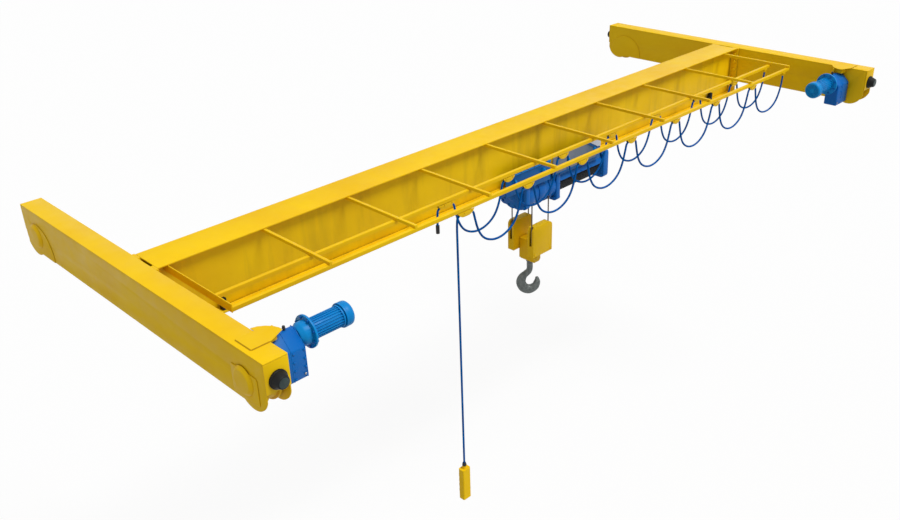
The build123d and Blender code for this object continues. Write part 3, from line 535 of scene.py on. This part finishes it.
def aim_camera():
    """Camera whose axes come from the yaw, pitch and roll fitted to the photograph."""
    level = cos(CAMERA_PITCH)
    ahead = np.array([sin(CAMERA_YAW) * level, cos(CAMERA_YAW) * level, -sin(CAMERA_PITCH)])
    right = np.array([cos(CAMERA_YAW), -sin(CAMERA_YAW), 0.0])
    up = np.cross(right, ahead)
    side = cos(CAMERA_ROLL) * right + sin(CAMERA_ROLL) * up
    top = -sin(CAMERA_ROLL) * right + cos(CAMERA_ROLL) * up
    lens = bpy.data.cameras.new("photo_camera")
    lens.lens = CAMERA_LENS_MM
    lens.sensor_width = CAMERA_SENSOR_MM
    lens.clip_end = 400.0
    camera = bpy.data.objects.new("photo_camera", lens)
    bpy.context.scene.collection.objects.link(camera)
    turn = np.stack([side, top, -ahead], axis=1)
    camera.matrix_world = Matrix.Translation(CAMERA_PLACE) @ Matrix(turn.tolist()).to_4x4()
    bpy.context.scene.camera = camera


FLOOR_Z = -3.6
FLOOR_SPAN = 160.0
FLOOR_BOUNCE = 0.42
FLOOR_SHOWN = 0.92
FLOOR_SHADE = 0.12
SUN_FROM = Vector((0.16, -0.46, 0.87))
SUN_STRENGTH = 2.0
SUN_WIDTH = radians(22)
SKY_STRENGTH = 0.42


def seen_directly(add):
    """1 for rays that show a surface to the camera, straight, mirrored or through glass, else 0."""
    path = add("LightPath")
    total = path.outputs["Is Camera Ray"]
    for name in ("Is Glossy Ray", "Is Transmission Ray"):
        sum_up = add("Math")
        sum_up.operation = "MAXIMUM"
        sum_up.id_data.links.new(total, sum_up.inputs[0])
        sum_up.id_data.links.new(path.outputs[name], sum_up.inputs[1])
        total = sum_up.outputs[0]
    return total


def light_stage():
    """Plain pale floor far below the crane, an even sky and one broad high lamp."""
    flat = FLOOR_SPAN * np.array([[[-1, -1, 0], [1, -1, 0]], [[-1, 1, 0], [1, 1, 0]]], float)
    flat[:, :, 2] = FLOOR_Z
    ground = bpy.data.objects.new("floor", fit_mesh("floor", grid(flat)))
    bpy.context.scene.collection.objects.link(ground)
    made, skin, add, links = new_finish("pale_floor")
    skin.inputs["Base Color"].default_value = (FLOOR_BOUNCE, FLOOR_BOUNCE, FLOOR_BOUNCE, 1.0)
    skin.inputs["Roughness"].default_value = 0.9
    white = add("Emission", Strength=1.0).outputs[0]
    pale = add("BsdfDiffuse", Color=(FLOOR_SHOWN, FLOOR_SHOWN, FLOOR_SHOWN, 1.0)).outputs[0]
    shown = add("MixShader", Fac=FLOOR_SHADE)
    links.new(white, shown.inputs[1])
    links.new(pale, shown.inputs[2])
    either = add("MixShader", Fac=seen_directly(add))
    links.new(skin.outputs[0], either.inputs[1])
    links.new(shown.outputs[0], either.inputs[2])
    links.new(either.outputs[0], made.node_tree.nodes["Material Output"].inputs[0])
    ground.data.materials.append(made)

    world = bpy.data.worlds.new("soft_sky")
    bpy.context.scene.world = world
    world.use_nodes = True
    tree = world.node_tree
    sky = tree.nodes["Background"]
    sky.inputs["Color"].default_value = (1.0, 1.0, 1.0, 1.0)
    strength = tree.nodes.new("ShaderNodeMapRange")
    strength.inputs["To Min"].default_value = SKY_STRENGTH
    strength.inputs["To Max"].default_value = 1.0
    shown_sky = seen_directly(lambda kind: tree.nodes.new("ShaderNode" + kind))
    tree.links.new(shown_sky, strength.inputs["Value"])
    tree.links.new(strength.outputs[0], sky.inputs["Strength"])

    lamp = bpy.data.lights.new("high_lamp", "SUN")
    lamp.energy = SUN_STRENGTH
    lamp.angle = SUN_WIDTH
    sun = bpy.data.objects.new("high_lamp", lamp)
    sun.rotation_mode = "QUATERNION"
    sun.rotation_quaternion = SUN_FROM.to_track_quat("Z", "Y")
    bpy.context.scene.collection.objects.link(sun)


aim_camera()
light_stage()

# CAD pieces with rounded edges: finish, edge radius and slot where it differs

STEEL_PLATES = {
    "carriage_sides": (yellow, 0.002),
    "carriage_cover_plates": (yellow, 0.003),
    "carriage_end_plates": (yellow, 0.003),
    "carriage_bottom_plates": (yellow, 0.002),
    "bearing_pads": (yellow, 0.005),
    "girder_top_flange": (yellow, 0.002),
    "girder_bottom_flange": (yellow, 0.002),
    "girder_webs": (yellow_web, 0.001),
    "cable_frame_bars": (yellow, 0.0015),
    "cable_rail_inner": (yellow, 0.0012),
    "cable_rail_outer": (yellow, 0.0012),
    "cable_saddles": (yellow, 0.0012),
    "cable_end_clamps": (yellow, 0.003),
    "trolley_end_stops": (rubber, 0.006),
    "travel_motor_flanges": (blue, 0.002),
    "travel_motors": (blue, 0.0012),
    "hoist_drum_housing": (blue_case, 0.006),
    "hoist_end_cover": (blue_case, 0.008),
    "hoist_mid_flange": (blue_case, 0.006),
    "hoist_end_flange": (blue_case, 0.006),
    "trolley_side_plates": (blue_dark, 0.002),
    "trolley_yokes": (blue_dark, 0.003),
    "trolley_wheels": (wheel_steel, 0.003),
    "left_front_wheel": (yellow_block, 0.003, "yellow_paint"),
    "left_back_wheel": (yellow_block, 0.003, "yellow_paint"),
    "right_front_wheel": (yellow_block, 0.003, "yellow_paint"),
    "right_back_wheel": (yellow_block, 0.003, "yellow_paint"),
    "hook_block_housings": (yellow_block, 0.004),
    "hook_block_crosshead": (yellow_block, 0.005),
    "hook_block_sheaves": (wheel_steel, 0.003),
    "hoist_cable_plug": (plastic, 0.003),
}
bodies_of = {node: rounded(node, *look) for node, look in STEEL_PLATES.items()}
pendant = NODES["pendant_box"]
buttons = NODES["pendant_buttons"]
pendant.material_slots[0].material = yellow
buttons.material_slots[0].material = plastic


# Cables

def route(lead):
    """Cable points as (x, z): the lead, then a loop for each saddle, the last one upright in its clamp."""
    points = list(lead)
    for count in range(SADDLE_COUNT):
        x = SADDLE_LEAD_X + SADDLE_PITCH * count
        steps = LOOP if count < SADDLE_COUNT - 1 else END_LOOP
        points += [(x + step, CABLE_ARC_Z + drop) for step, drop in steps]
    return points


def cable(name, rail_y, lead, node):
    """Round cable as one smooth NURBS curve from its end clamp back along its loops to its free end."""
    points = route(lead)[::-1]
    shape = bpy.data.curves.new(name, "CURVE")
    shape.dimensions = "3D"
    shape.resolution_u = 10
    shape.bevel_depth = CABLE_R
    shape.bevel_resolution = 4
    shape.use_fill_caps = True
    line = shape.splines.new("NURBS")
    line.points.add(len(points) - 1)
    line.points.foreach_set("co", np.array([(x, rail_y, z, 1.0) for x, z in points]).ravel())
    line.order_u = 3
    line.use_endpoint_u = True
    made = bpy.data.objects.new(name, shape)
    bpy.context.scene.collection.objects.link(made)
    shape.materials.append(sheath)
    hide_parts(node)
    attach(made, "bridge")


GLAND_PROFILE = [
    (0.0, 0.030), (0.0135, 0.030), (0.0150, 0.028), (0.0150, 0.020), (0.0172, 0.018), (0.0172, 0.012),
    (0.0190, 0.010), (0.0190, 0.0), (0.0, 0.0),
]
GLAND_DEPTH = 0.020
SADDLE_BOLT_X = 0.040
SADDLE_BOLT_Z = 0.2885
CLAMP_SCREW_X = 0.012
CLAMP_SCREW_Z = 0.287
CLAMP_FACE_Y = 0.015

gland_place = [(DROP_X, OUTER_RAIL_Y, GLAND_TOP_Z - GLAND_DEPTH)]
gland = placed(turned(GLAND_PROFILE, steps=24), gland_place, "+z")
gland_nut = piece("pendant_gland_nut", gland, plastic, "bridge")
corner = (SADDLE_LEAD_X - SADDLE_CORNER - LEAD_EXTRA, CABLE_ARC_Z)
bend = (DROP_X, CABLE_ARC_Z - DROP_BEND)
below_bend = (DROP_X, CABLE_ARC_Z - 2 * DROP_BEND)
pendant_lead = [(DROP_X, GLAND_TOP_Z), below_bend, bend, corner]
plug_lead = [(DROP_X, CABLE_ARC_Z - DROP_BEND - PLUG_DROP), bend, corner]
cable(
    "pendant_cable_round", OUTER_RAIL_Y, pendant_lead, "pendant_cable",
)
cable(
    "hoist_cable_round", INNER_RAIL_Y, plug_lead, "hoist_cable",
)
saddle_x = SADDLE_LEAD_X + SADDLE_PITCH * np.arange(SADDLE_COUNT)
cheek_x = np.concatenate([saddle_x - SADDLE_BOLT_X, saddle_x + SADDLE_BOLT_X])
clamp_x = SADDLE_LEAD_X + SADDLE_PITCH * (SADDLE_COUNT - 1) + END_LOOP[-1][0]
clamp_screw_x = [clamp_x - CLAMP_SCREW_X, clamp_x + CLAMP_SCREW_X]
for rail_name, rail_y in (("inner", INNER_RAIL_Y), ("outer", OUTER_RAIL_Y)):
    front = placed(bolt(M6), lattice(cheek_x, [rail_y - SADDLE_CHEEK_Y], [SADDLE_BOLT_Z]), "-y")
    back = placed(bolt(M6), lattice(cheek_x, [rail_y + SADDLE_CHEEK_Y], [SADDLE_BOLT_Z]), "+y")
    held = placed(cap_screw(M8), lattice(clamp_screw_x, [rail_y - CLAMP_FACE_Y], [CLAMP_SCREW_Z]), "-y")
    piece(rail_name + "_saddle_bolts", merged([front, back, held]), yellow, "bridge")


# Buffers and axle caps

BUFFER_PROFILE = [
    (0.0, 0.0615), (0.036, 0.0615), (0.0395, 0.0600), (0.0420, 0.0560), (0.0440, 0.0500), (0.0500, 0.0340),
    (0.0545, 0.0210), (0.0560, 0.0155), (0.0600, 0.0135), (0.0620, 0.0105), (0.0620, 0.0), (0.0, 0.0),
]
NOSE_PROFILE = [(0.0, 0.0640), (0.030, 0.0640), (0.0335, 0.0630), (0.0345, 0.0605), (0.0, 0.0605)]
CAP_PROFILE = [
    (0.0, 0.0195), (0.072, 0.0195), (0.076, 0.0188), (0.0792, 0.0172), (0.0960, 0.0042), (0.0980, 0.0015),
    (0.0980, 0.0), (0.0, 0.0),
]


def at_buffers(shape):
    """Shape on the front and back end of both carriages, pointing away from the carriage."""
    front = placed(shape, lattice([-RAIL_X, RAIL_X], [-CARRIAGE_END_Y], [BUFFER_Z]), "-y")
    return merged([front, placed(shape, lattice([-RAIL_X, RAIL_X], [CARRIAGE_END_Y], [BUFFER_Z]), "+y")])


piece("rubber_buffers", at_buffers(turned(BUFFER_PROFILE)), rubber, "bridge", ["buffers"])
# The noses' lighter rubber is partly their grey-green and partly a painted highlight.
piece("buffer_noses", at_buffers(turned(NOSE_PROFILE)), nose_rubber_highlight, "bridge")
axle_places = lattice([-PAD_FACE_X], [-AXLE_Y, AXLE_Y], [AXLE_Z])
caps = both_ends(turned(CAP_PROFILE, steps=64), axle_places, "-x")
piece("bearing_caps", caps, yellow, "bridge", ["axle_caps"])


# Girder joints and welds

END_PLATE_THICKNESS = 0.020
END_PLATE_OUTLINE = [
    (-0.170, -0.172), (0.170, -0.172), (0.170, 0.363), (0.090, 0.363), (0.070, 0.320), (-0.070, 0.320),
    (-0.090, 0.363), (-0.170, 0.363),
]
END_BOLT_Y = 0.140
END_BOLT_Z = (0.030, 0.120, 0.210, 0.295)

end_plate = slab(END_PLATE_OUTLINE, END_PLATE_THICKNESS, "x", chamfer=0.002)
end_plate = moved(end_plate, (-CARRIAGE_INNER_X, 0, 0))
piece("girder_joint_plates", mirrored(end_plate), yellow, "bridge", ["girder_end_plates"])
end_bolts = both_ends(bolt(M20), lattice([-GIRDER_END_X], [-END_BOLT_Y, END_BOLT_Y], END_BOLT_Z), "+x")
piece("girder_end_bolts", end_bolts, yellow, "bridge")
seams = []
for side in (-1, 1):
    face = side * WEB_FACE_Y
    for z, up in ((WEB_TOP_Z, (0, 0, -1)), (WEB_FOOT_Z, (0, 0, 1))):
        seams.append(weld((-GIRDER_END_X, face, z), (GIRDER_END_X, face, z), (0, side, 0), up))
    for end in (-1, 1):
        x = end * GIRDER_END_X
        seams.append(weld((x, face, WEB_FOOT_Z), (x, face, WEB_TOP_Z), (0, side, 0), (-end, 0, 0)))
piece("girder_welds", merged(seams), yellow, "bridge", sharp=60.0)


# Travel drives

COWL_END = 0.064
COWL_PROFILE = [
    (0.0, 0.0), (0.0815, 0.0), (0.0828, 0.003), (0.0828, 0.013), (0.0812, 0.0145), (0.0812, 0.0175),
    (0.082, 0.019), (0.082, 0.046), (0.0795, 0.056), (0.073, 0.0625), (0.066, COWL_END),
]
for groove in (0.062, 0.051, 0.040, 0.029):
    COWL_PROFILE += [
        (groove, COWL_END), (groove - 0.0008, 0.0602), (groove - 0.0042, 0.0602), (groove - 0.005, COWL_END),
    ]
COWL_PROFILE += [(0.010, 0.0648), (0.0, 0.0648)]
SHIELD_PROFILE = [(0.0, 0.0), (0.0725, 0.0), (0.0735, 0.002), (0.0735, 0.010), (0.0725, 0.012), (0.0, 0.012)]
SHIELD_OVERLAP = 0.016
FLANGE_BOLT_R = 0.096
FLANGE_BOLTS = 8
CASE_SCREW_INSET = 0.013
CASE_SCREW_Z = (0.026, 0.085, 0.145, 0.205)
PLUG_PROFILE = [(0.0, 0.007), (0.0065, 0.007), (0.008, 0.0055), (0.008, 0.0), (0.0, 0.0)]
PLUG_PLACE = (-3.450, REDUCER_FRONT_Y, 0.040)
BREATHER_PROFILE = [
    (0.0, 0.030), (0.006, 0.030), (0.0095, 0.027), (0.0095, 0.017), (0.0115, 0.015), (0.0115, 0.009),
    (0.008, 0.008), (0.008, 0.0), (0.0, 0.0),
]
BREATHER_PLACE = (-3.492, -1.364, REDUCER_TOP_Z)
CASE_GAP = 0.002
CASE_OUTLINE = [
    (-1.470, 0.011), (-1.476, 0.013), (-1.478, 0.019), (-1.478, 0.214), (-1.476, 0.222), (-1.471, 0.229),
    (-1.394, 0.307), (-1.388, 0.312), (-1.380, 0.315), (-1.358, 0.315), (-1.352, 0.313), (-1.350, 0.307),
    (-1.350, 0.019), (-1.352, 0.013), (-1.358, 0.011),
]
JOINT_RIB_OUTLINE = [(-1.480, 0.013), (-1.480, 0.222), (-1.387, 0.317), (-1.348, 0.317), (-1.348, 0.013)]
JOINT_RIB_X = (REDUCER_X[0] - 0.003, REDUCER_X[1] - 0.009)
JOINT_RIB_WIDTH = 0.006
LAP_THICKNESS = 0.006
SHELF_OUTLINE = [
    (LAP_EDGE_X, LAP_BACK_Y), (LAP_EDGE_X, LAP_FRONT_Y), (-3.655, LAP_FRONT_Y), (-3.547, -1.432),
    (-3.541, -1.420), (-3.541, -1.400), (-3.556, -1.360), (-3.585, -1.322), (-3.625, -1.292),
    (-3.664, -1.280), (-3.666, LAP_BACK_Y),
]
SPACER_OUTLINE = [(-3.665, -1.430), (-3.580, -1.422), (-3.580, -1.340), (-3.665, -1.340)]
SPACER_HEIGHT = 0.052
SPACER_BOTTOM_Z = 0.314
GUSSET_OUTLINE = [(-3.665, 0.066), (-3.610, 0.080), (-3.550, 0.290), (-3.550, 0.364), (-3.665, 0.364)]
GUSSET_THICKNESS = 0.014
GUSSET_BACK_Y = -1.334
LAP_WELD_LEG = 0.0055

cowls = both_ends(turned(COWL_PROFILE, steps=56), [(MOTOR_END_X, MOTOR_Y, MOTOR_Z)], "+x")
piece("fan_cowls", cowls, blue, "bridge", ["travel_fan_cowls"])
shield_places = lattice([MOTOR_END_X - SHIELD_OVERLAP, MOTOR_FLANGE_X[1]], [MOTOR_Y], [MOTOR_Z])
shields = both_ends(turned(SHIELD_PROFILE, steps=56), shield_places, "+x")
piece("motor_end_shields", shields, blue, "bridge")
bolt_ring = ring_of((MOTOR_FLANGE_X[0], MOTOR_Y, MOTOR_Z), FLANGE_BOLT_R, FLANGE_BOLTS, "-x", pi / 8)
nut_ring = ring_of((MOTOR_FLANGE_X[1], MOTOR_Y, MOTOR_Z), FLANGE_BOLT_R, FLANGE_BOLTS, "+x", pi / 8)
case_screw_x = [REDUCER_X[0] + CASE_SCREW_INSET, REDUCER_X[1] - CASE_SCREW_INSET]
drive_bolts = [
    both_ends(bolt(M10), bolt_ring, "-x"),
    both_ends(stud(M10), nut_ring, "+x"),
    both_ends(cap_screw(M10), lattice(case_screw_x, [REDUCER_FRONT_Y], CASE_SCREW_Z), "-y"),
]
piece("travel_drive_bolts", merged(drive_bolts), blue_case, "bridge")
drains = both_ends(turned(PLUG_PROFILE, steps=6), [PLUG_PLACE], "-y")
piece("drain_plugs", drains, zinc, "bridge")
breathers = both_ends(turned(BREATHER_PROFILE, steps=18), [BREATHER_PLACE], "+z")
piece("breathers", breathers, plastic, "bridge")
case = slab(CASE_OUTLINE, REDUCER_X[1] + CARRIAGE_INNER_X - CASE_GAP, "x", chamfer=0.004)
cases = [moved(case, (CASE_GAP - CARRIAGE_INNER_X, 0, 0))]
cases += [moved(slab(JOINT_RIB_OUTLINE, JOINT_RIB_WIDTH, "x"), (x, 0, 0)) for x in JOINT_RIB_X]
piece("gear_cases", mirrored(merged(cases)), blue_case, "bridge", ["travel_reducers"])
shelf = [
    moved(slab(SHELF_OUTLINE, LAP_THICKNESS, "z"), (0, 0, LAP_BOTTOM_Z)),
    moved(slab(SPACER_OUTLINE, SPACER_HEIGHT, "z"), (0, 0, SPACER_BOTTOM_Z)),
    moved(slab(GUSSET_OUTLINE, GUSSET_THICKNESS), (0, GUSSET_BACK_Y, 0)),
]
piece("drive_shelves", mirrored(merged(shelf)), yellow, "bridge", ["drive_brackets"])
lap_seams = []
for side in (-1, 1):
    front_corner = (-side * LAP_EDGE_X, LAP_FRONT_Y, LAP_BOTTOM_Z)
    back_corner = (-side * LAP_EDGE_X, LAP_BACK_Y, LAP_BOTTOM_Z)
    inner_corner = (side * CARRIAGE_INNER_X, LAP_FRONT_Y, LAP_BOTTOM_Z)
    lap_seams.append(weld(front_corner, back_corner, (side, 0, 0), (0, 0, 1), leg=LAP_WELD_LEG))
    lap_seams.append(weld(front_corner, inner_corner, (0, -1, 0), (0, 0, 1), leg=LAP_WELD_LEG))
# The lap welds carry the darker yellow as painted shade along the plate's edges.
piece("bracket_lap_welds", merged(lap_seams), lap_seam_shade_yellow, "bridge", sharp=60.0)


# Hoist

FIN_COUNT = 56
FIN_DEPTH = 0.010
FLANGE_BOLT_ROWS = [
    (bolt, START_FLANGE_X, 0.137, (-0.424, -0.209), "-x"),
    (bolt, MID_FLANGE_X[0], 0.137, (-0.464, -0.209), "-x"),
    (stud, MID_FLANGE_X[1], 0.142, (-0.470, -0.209), "+x"),
    (stud, END_FLANGE_X[0], 0.145, (-0.448, -0.209), "-x"),
    (bolt, END_FLANGE_X[1], 0.142, (-0.444, -0.209), "+x"),
]
COVER_BOLT_R = 0.100
HUB_PROFILE = [
    (0.0, 0.016), (0.030, 0.016), (0.036, 0.013), (0.044, 0.004), (0.060, 0.003), (0.062, 0.0), (0.0, 0.0),
]
DISH_PROFILE = [(0.0, 0.008), (0.070, 0.008), (0.078, 0.004), (0.108, 0.004), (0.112, 0.0), (0.0, 0.0)]
SHEET_INNER_R = 0.140
SHEET_FROM_TOP = (52, 80)
SHEET_SCREW_FROM_TOP = (58, 76, -58, -76)
SHEET_SCREW_X = (0.545, 0.705, 0.865, 1.025, 1.185)


def finned_barrel(start_x, end_x, radius, depth, count):
    """Barrel along X whose radius steps down between its fins, a trapezium wave round the barrel."""
    phase = np.array([0.0, 0.30, 0.44, 0.86])
    angle = tau * (np.arange(count)[:, None] + phase[None]).ravel() / count
    tips = np.tile([radius, radius, radius - depth, radius - depth], count)
    ends = np.array([(start_x, 0.0), (start_x, 1.0), (end_x, 1.0), (end_x, 0.0)])
    around = np.stack([np.zeros_like(angle), np.cos(angle), np.sin(angle)], axis=-1) * tips[:, None]
    points = ends[:, 1][:, None, None] * around[None]
    points[:, :, 0] += ends[:, 0][:, None]
    return grid(points, wrap_columns=True)


def about_x(angle):
    """Turn that points +Z outwards at an angle from the top of a barrel along X, towards +Y."""
    return np.array([[1, 0, 0], [0, cos(angle), sin(angle)], [0, -sin(angle), cos(angle)]], float)


def curved_sheet(start_x, end_x, inner, outer, first, last, steps=16):
    """Sheet bent round an axis along X: two arcs between two angles from the top, joined at their ends."""
    angle = np.radians(np.linspace(first, last, steps))
    arc = np.stack([np.zeros(steps), np.sin(angle), np.cos(angle)], axis=-1)
    middle = (inner + outer) / 2
    loop = np.concatenate([outer * arc, inner * arc[::-1]])
    closing = np.concatenate([middle * arc, middle * arc[::-1]])
    rows = np.stack([closing, loop, loop, closing])
    rows[:, :, 0] += np.array([start_x, start_x, end_x, end_x])[:, None]
    return grid(rows, wrap_columns=True)


barrel = finned_barrel(MID_FLANGE_X[1], END_FLANGE_X[0], HOIST_MOTOR_R, FIN_DEPTH, FIN_COUNT)
barrel = moved(barrel, (0, 0, HOIST_MOTOR_Z))
piece("hoist_motor_barrel", barrel, casting, "hoist", ["hoist_motor"], sharp=25.0)
case_bolts = [placed(head(M16), lattice([x], [-y, y], zs), aim) for head, x, y, zs, aim in FLANGE_BOLT_ROWS]
cover_nose = (COVER_NOSE_X, 0, HOIST_Z)
case_bolts.append(placed(bolt(M10), ring_of(cover_nose, COVER_BOLT_R, 8, "-x", pi / 8), "-x"))
case_bolts.append(placed(turned(HUB_PROFILE, steps=40), [cover_nose], "-x"))
case_bolts.append(placed(turned(DISH_PROFILE, steps=48), [(END_FLANGE_X[1], 0, HOIST_MOTOR_Z)], "+x"))
piece("hoist_case_bolts", merged(case_bolts), blue_case, "hoist")
sheet_ends = (MID_FLANGE_X[1], END_FLANGE_X[0])
sheets = [
    curved_sheet(*sheet_ends, SHEET_INNER_R, SHEET_R, side * SHEET_FROM_TOP[0], side * SHEET_FROM_TOP[1])
    for side in (-1, 1)
]
sheets = moved(merged(sheets), (0, 0, HOIST_MOTOR_Z))
piece("motor_side_covers", sheets, blue_case, "hoist", ["hoist_motor_covers"])
screws = []
for degrees in SHEET_SCREW_FROM_TOP:
    angle = radians(degrees)
    y, z = SHEET_R * sin(angle), HOIST_MOTOR_Z + SHEET_R * cos(angle)
    screws.append(placed(cap_screw(M9), lattice(SHEET_SCREW_X, [y], [z]), about_x(angle)))
piece("sheet_cover_screws", merged(screws), blue_case, "hoist")


# Trolley

RIB_X = (-0.235, -0.145, -0.055, 0.035, 0.125, 0.215, 0.305)
RIB_OUTLINE = [(-0.009, -0.020), (0.009, -0.020), (0.009, 0.016), (-0.009, 0.016)]
RIDGE_OUTLINE = [(-0.255, -0.034), (0.355, -0.034), (0.355, -0.024), (-0.255, -0.024)]
PANEL_OUTLINE = [(0.385, -0.190), (1.040, -0.190), (1.040, -0.088), (0.872, 0.010), (0.385, 0.010)]
RIM_STRIPS = [
    ([(0.380, 0.004), (0.880, 0.004), (0.872, 0.018), (0.380, 0.018)], 0.016),
    ([(0.866, 0.004), (1.052, -0.104), (1.064, -0.094), (0.876, 0.018)], 0.016),
    ([(0.588, -0.190), (0.600, -0.190), (0.600, 0.006), (0.588, 0.006)], 0.013),
    ([(0.380, -0.196), (1.052, -0.196), (1.052, -0.186), (0.380, -0.186)], 0.013),
]
GUARD_OUTLINE = [(1.070, -0.088), (1.118, -0.094), (1.118, 0.014), (0.892, 0.014)]
RIB_DEPTH = 0.014
RIDGE_DEPTH = 0.008
PANEL_DEPTH = 0.010
GUARD_DEPTH = 0.006

axle_nuts = [
    placed(stud(M24), lattice(TROLLEY_AXLE_X, [-PLATE_FACE_Y], [TROLLEY_AXLE_Z]), "-y"),
    placed(stud(M24), lattice(TROLLEY_AXLE_X, [PLATE_FACE_Y], [TROLLEY_AXLE_Z]), "+y"),
]
piece("trolley_axle_nuts", merged(axle_nuts), blue, "hoist")
plate_front = (0, -PLATE_FACE_Y, 0)
ribs = [moved(slab(RIB_OUTLINE, RIB_DEPTH), (x, 0, 0)) for x in RIB_X]
ribs.append(slab(RIDGE_OUTLINE, RIDGE_DEPTH))
piece("trolley_plate_ribs", moved(merged(ribs), plate_front), blue, "hoist")
panel = moved(slab(PANEL_OUTLINE, PANEL_DEPTH), plate_front)
piece("control_panel", panel, panel_grey, "hoist")
rim = moved(merged([slab(outline, depth) for outline, depth in RIM_STRIPS]), plate_front)
piece("control_panel_rim", rim, blue_dark, "hoist")
# The guard's near-white paint is a painted highlight.
guard = moved(slab(GUARD_OUTLINE, GUARD_DEPTH), plate_front)
piece("highlight_guard", guard, highlight_pale, "hoist")


# Rope falls, hook block and hook

ROPE_LAY = 0.070
COLLAR_PROFILE = [(0.0, 0.0), (0.034, 0.0), (0.036, -0.002), (0.036, -0.011), (0.031, -0.016), (0.0, -0.016)]
COLLAR_GAP = 0.004
BOSS_PROFILE = [(0.0, 0.007), (0.013, 0.007), (0.016, 0.005), (0.023, 0.004), (0.025, 0.0), (0.0, 0.0)]
BOSS_Z = -1.052
HOUSING_SCREW_X = 0.118
HOUSING_SCREW_Z = -0.965


def stranded(x, y, top, bottom, radius, lay, rows=200, columns=24):
    """Six-strand rope: a lobed section that turns once for each length of lay, closed at both ends."""
    z = np.linspace(top, bottom, rows)
    angle = np.linspace(0, tau, columns, endpoint=False)
    twist = tau * (z - top) / lay
    lobes = radius * (0.78 + 0.22 * np.abs(np.cos(3 * (angle[None] - twist[:, None]))))
    lobes[[0, -1]] = 0.0
    z[1], z[-2] = z[0], z[-1]
    across = np.stack([lobes * np.cos(angle), lobes * np.sin(angle)], axis=-1) + (x, y)
    height = np.broadcast_to(z[:, None, None], lobes.shape + (1,))
    return grid(np.concatenate([across, height], axis=-1), wrap_columns=True)


def smooth_rows(rows, steps):
    """Rows passed through smoothly: a Catmull-Rom curve through every column, in steps between two rows."""
    rows = np.asarray(rows, float)
    spot = np.linspace(0, len(rows) - 1, (len(rows) - 1) * steps + 1)
    index = np.minimum(spot.astype(int), len(rows) - 2)
    share = (spot - index)[:, None]
    padded = np.concatenate([[2 * rows[0] - rows[1]], rows, [2 * rows[-1] - rows[-2]]])
    a, b, c, d = (padded[index + shift] for shift in range(4))
    return b + 0.5 * share * (c - a + share * (2 * a - 5 * b + 4 * c - d + share * (3 * (b - c) + d - a)))


def forged_hook(columns=32):
    """Egg-shaped sections, narrower outside, carried down the shank and round the bowl to a round point."""
    neck = BOWL_Z + BOWL_R + BOWL_DEPTH
    rows = [(0.0, z, 180.0, 2 * SHANK_R, 2 * SHANK_R) for z in (SHANK_TOP_Z, *SHANK_STEPS_Z, neck)]
    rows.append((-0.4 * SHANK_R, neck - SHANK_R, 156.0, 2.1 * SHANK_R, 2 * SHANK_R))
    for degrees, inner, deep, wide in HOOK_SECTIONS:
        depth = deep * BOWL_DEPTH
        radius = inner * BOWL_R + depth / 2
        angle = radians(degrees)
        rows.append((radius * cos(angle), BOWL_Z + radius * sin(angle), degrees, depth, wide * BOWL_DEPTH))
    x, z, lean, depth, width = smooth_rows(rows, 9).T
    lean = np.radians(lean)
    swell = np.clip((EGG_FROM_Z - z) / EGG_OVER, 0.0, 1.0)
    round_off = np.radians(np.linspace(0, 90, 7))[1:]
    tip = depth[-1] * POINT_SHARE * np.sin(round_off)
    x = np.concatenate([x[:1], x, x[-1] - tip * np.sin(lean[-1])])
    z = np.concatenate([z[:1], z, z[-1] + tip * np.cos(lean[-1])])
    scale = np.concatenate([[0.0], np.ones(len(depth)), np.cos(round_off)])
    lean, depth, width, swell = (
        np.concatenate([v[:1], v, np.repeat(v[-1:], len(tip))]) for v in (lean, depth, width, swell)
    )
    angle = np.linspace(0, tau, columns, endpoint=False)
    out = (scale * depth / 2)[:, None] * np.cos(angle)
    side = (scale * width / 2)[:, None] * np.sin(angle) * (1 - EGG_SHARE * swell[:, None] * np.cos(angle))
    flat_x = x[:, None] + out * np.cos(lean)[:, None]
    flat_z = z[:, None] + out * np.sin(lean)[:, None]
    turn_x = flat_x * cos(HOOK_TURN) - side * sin(HOOK_TURN) + BLOCK_X
    turn_y = flat_x * sin(HOOK_TURN) + side * cos(HOOK_TURN)
    return grid(np.stack([turn_x, turn_y, flat_z], axis=-1), wrap_columns=True)


falls = [
    stranded(BLOCK_X + side * FALL_OFFSET_X, y, ROPE_TOP_Z, SHEAVE_Z, ROPE_R, ROPE_LAY)
    for side in (-1, 1) for y in (-FALL_Y, FALL_Y)
]
ropes = piece("wire_rope_falls", merged(falls), rope_steel, None, ["rope_falls"], sharp=80.0)
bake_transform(ropes)
collar = moved(turned(COLLAR_PROFILE, steps=40), (BLOCK_X, 0, CROSSHEAD_BOTTOM_Z - COLLAR_GAP))
piece("forged_hook", merged([forged_hook(), collar]), forged, "hook", ["hook"])
boss = turned(BOSS_PROFILE, steps=28)
housing_screw_x = [BLOCK_X - HOUSING_SCREW_X, BLOCK_X + HOUSING_SCREW_X]
bosses = [
    placed(boss, [(BLOCK_X, -CROSSHEAD_FACE_Y, BOSS_Z)], "-y"),
    placed(boss, [(BLOCK_X, CROSSHEAD_FACE_Y, BOSS_Z)], "+y"),
    placed(cap_screw(M10), lattice(housing_screw_x, [-HOUSING_FACE_Y], [HOUSING_SCREW_Z]), "-y"),
    placed(cap_screw(M10), lattice(housing_screw_x, [HOUSING_FACE_Y], [HOUSING_SCREW_Z]), "+y"),
]
piece("hook_block_bosses", merged(bosses), yellow_block, "hook_block")

bpy.context.scene.view_settings.view_transform = "Standard"
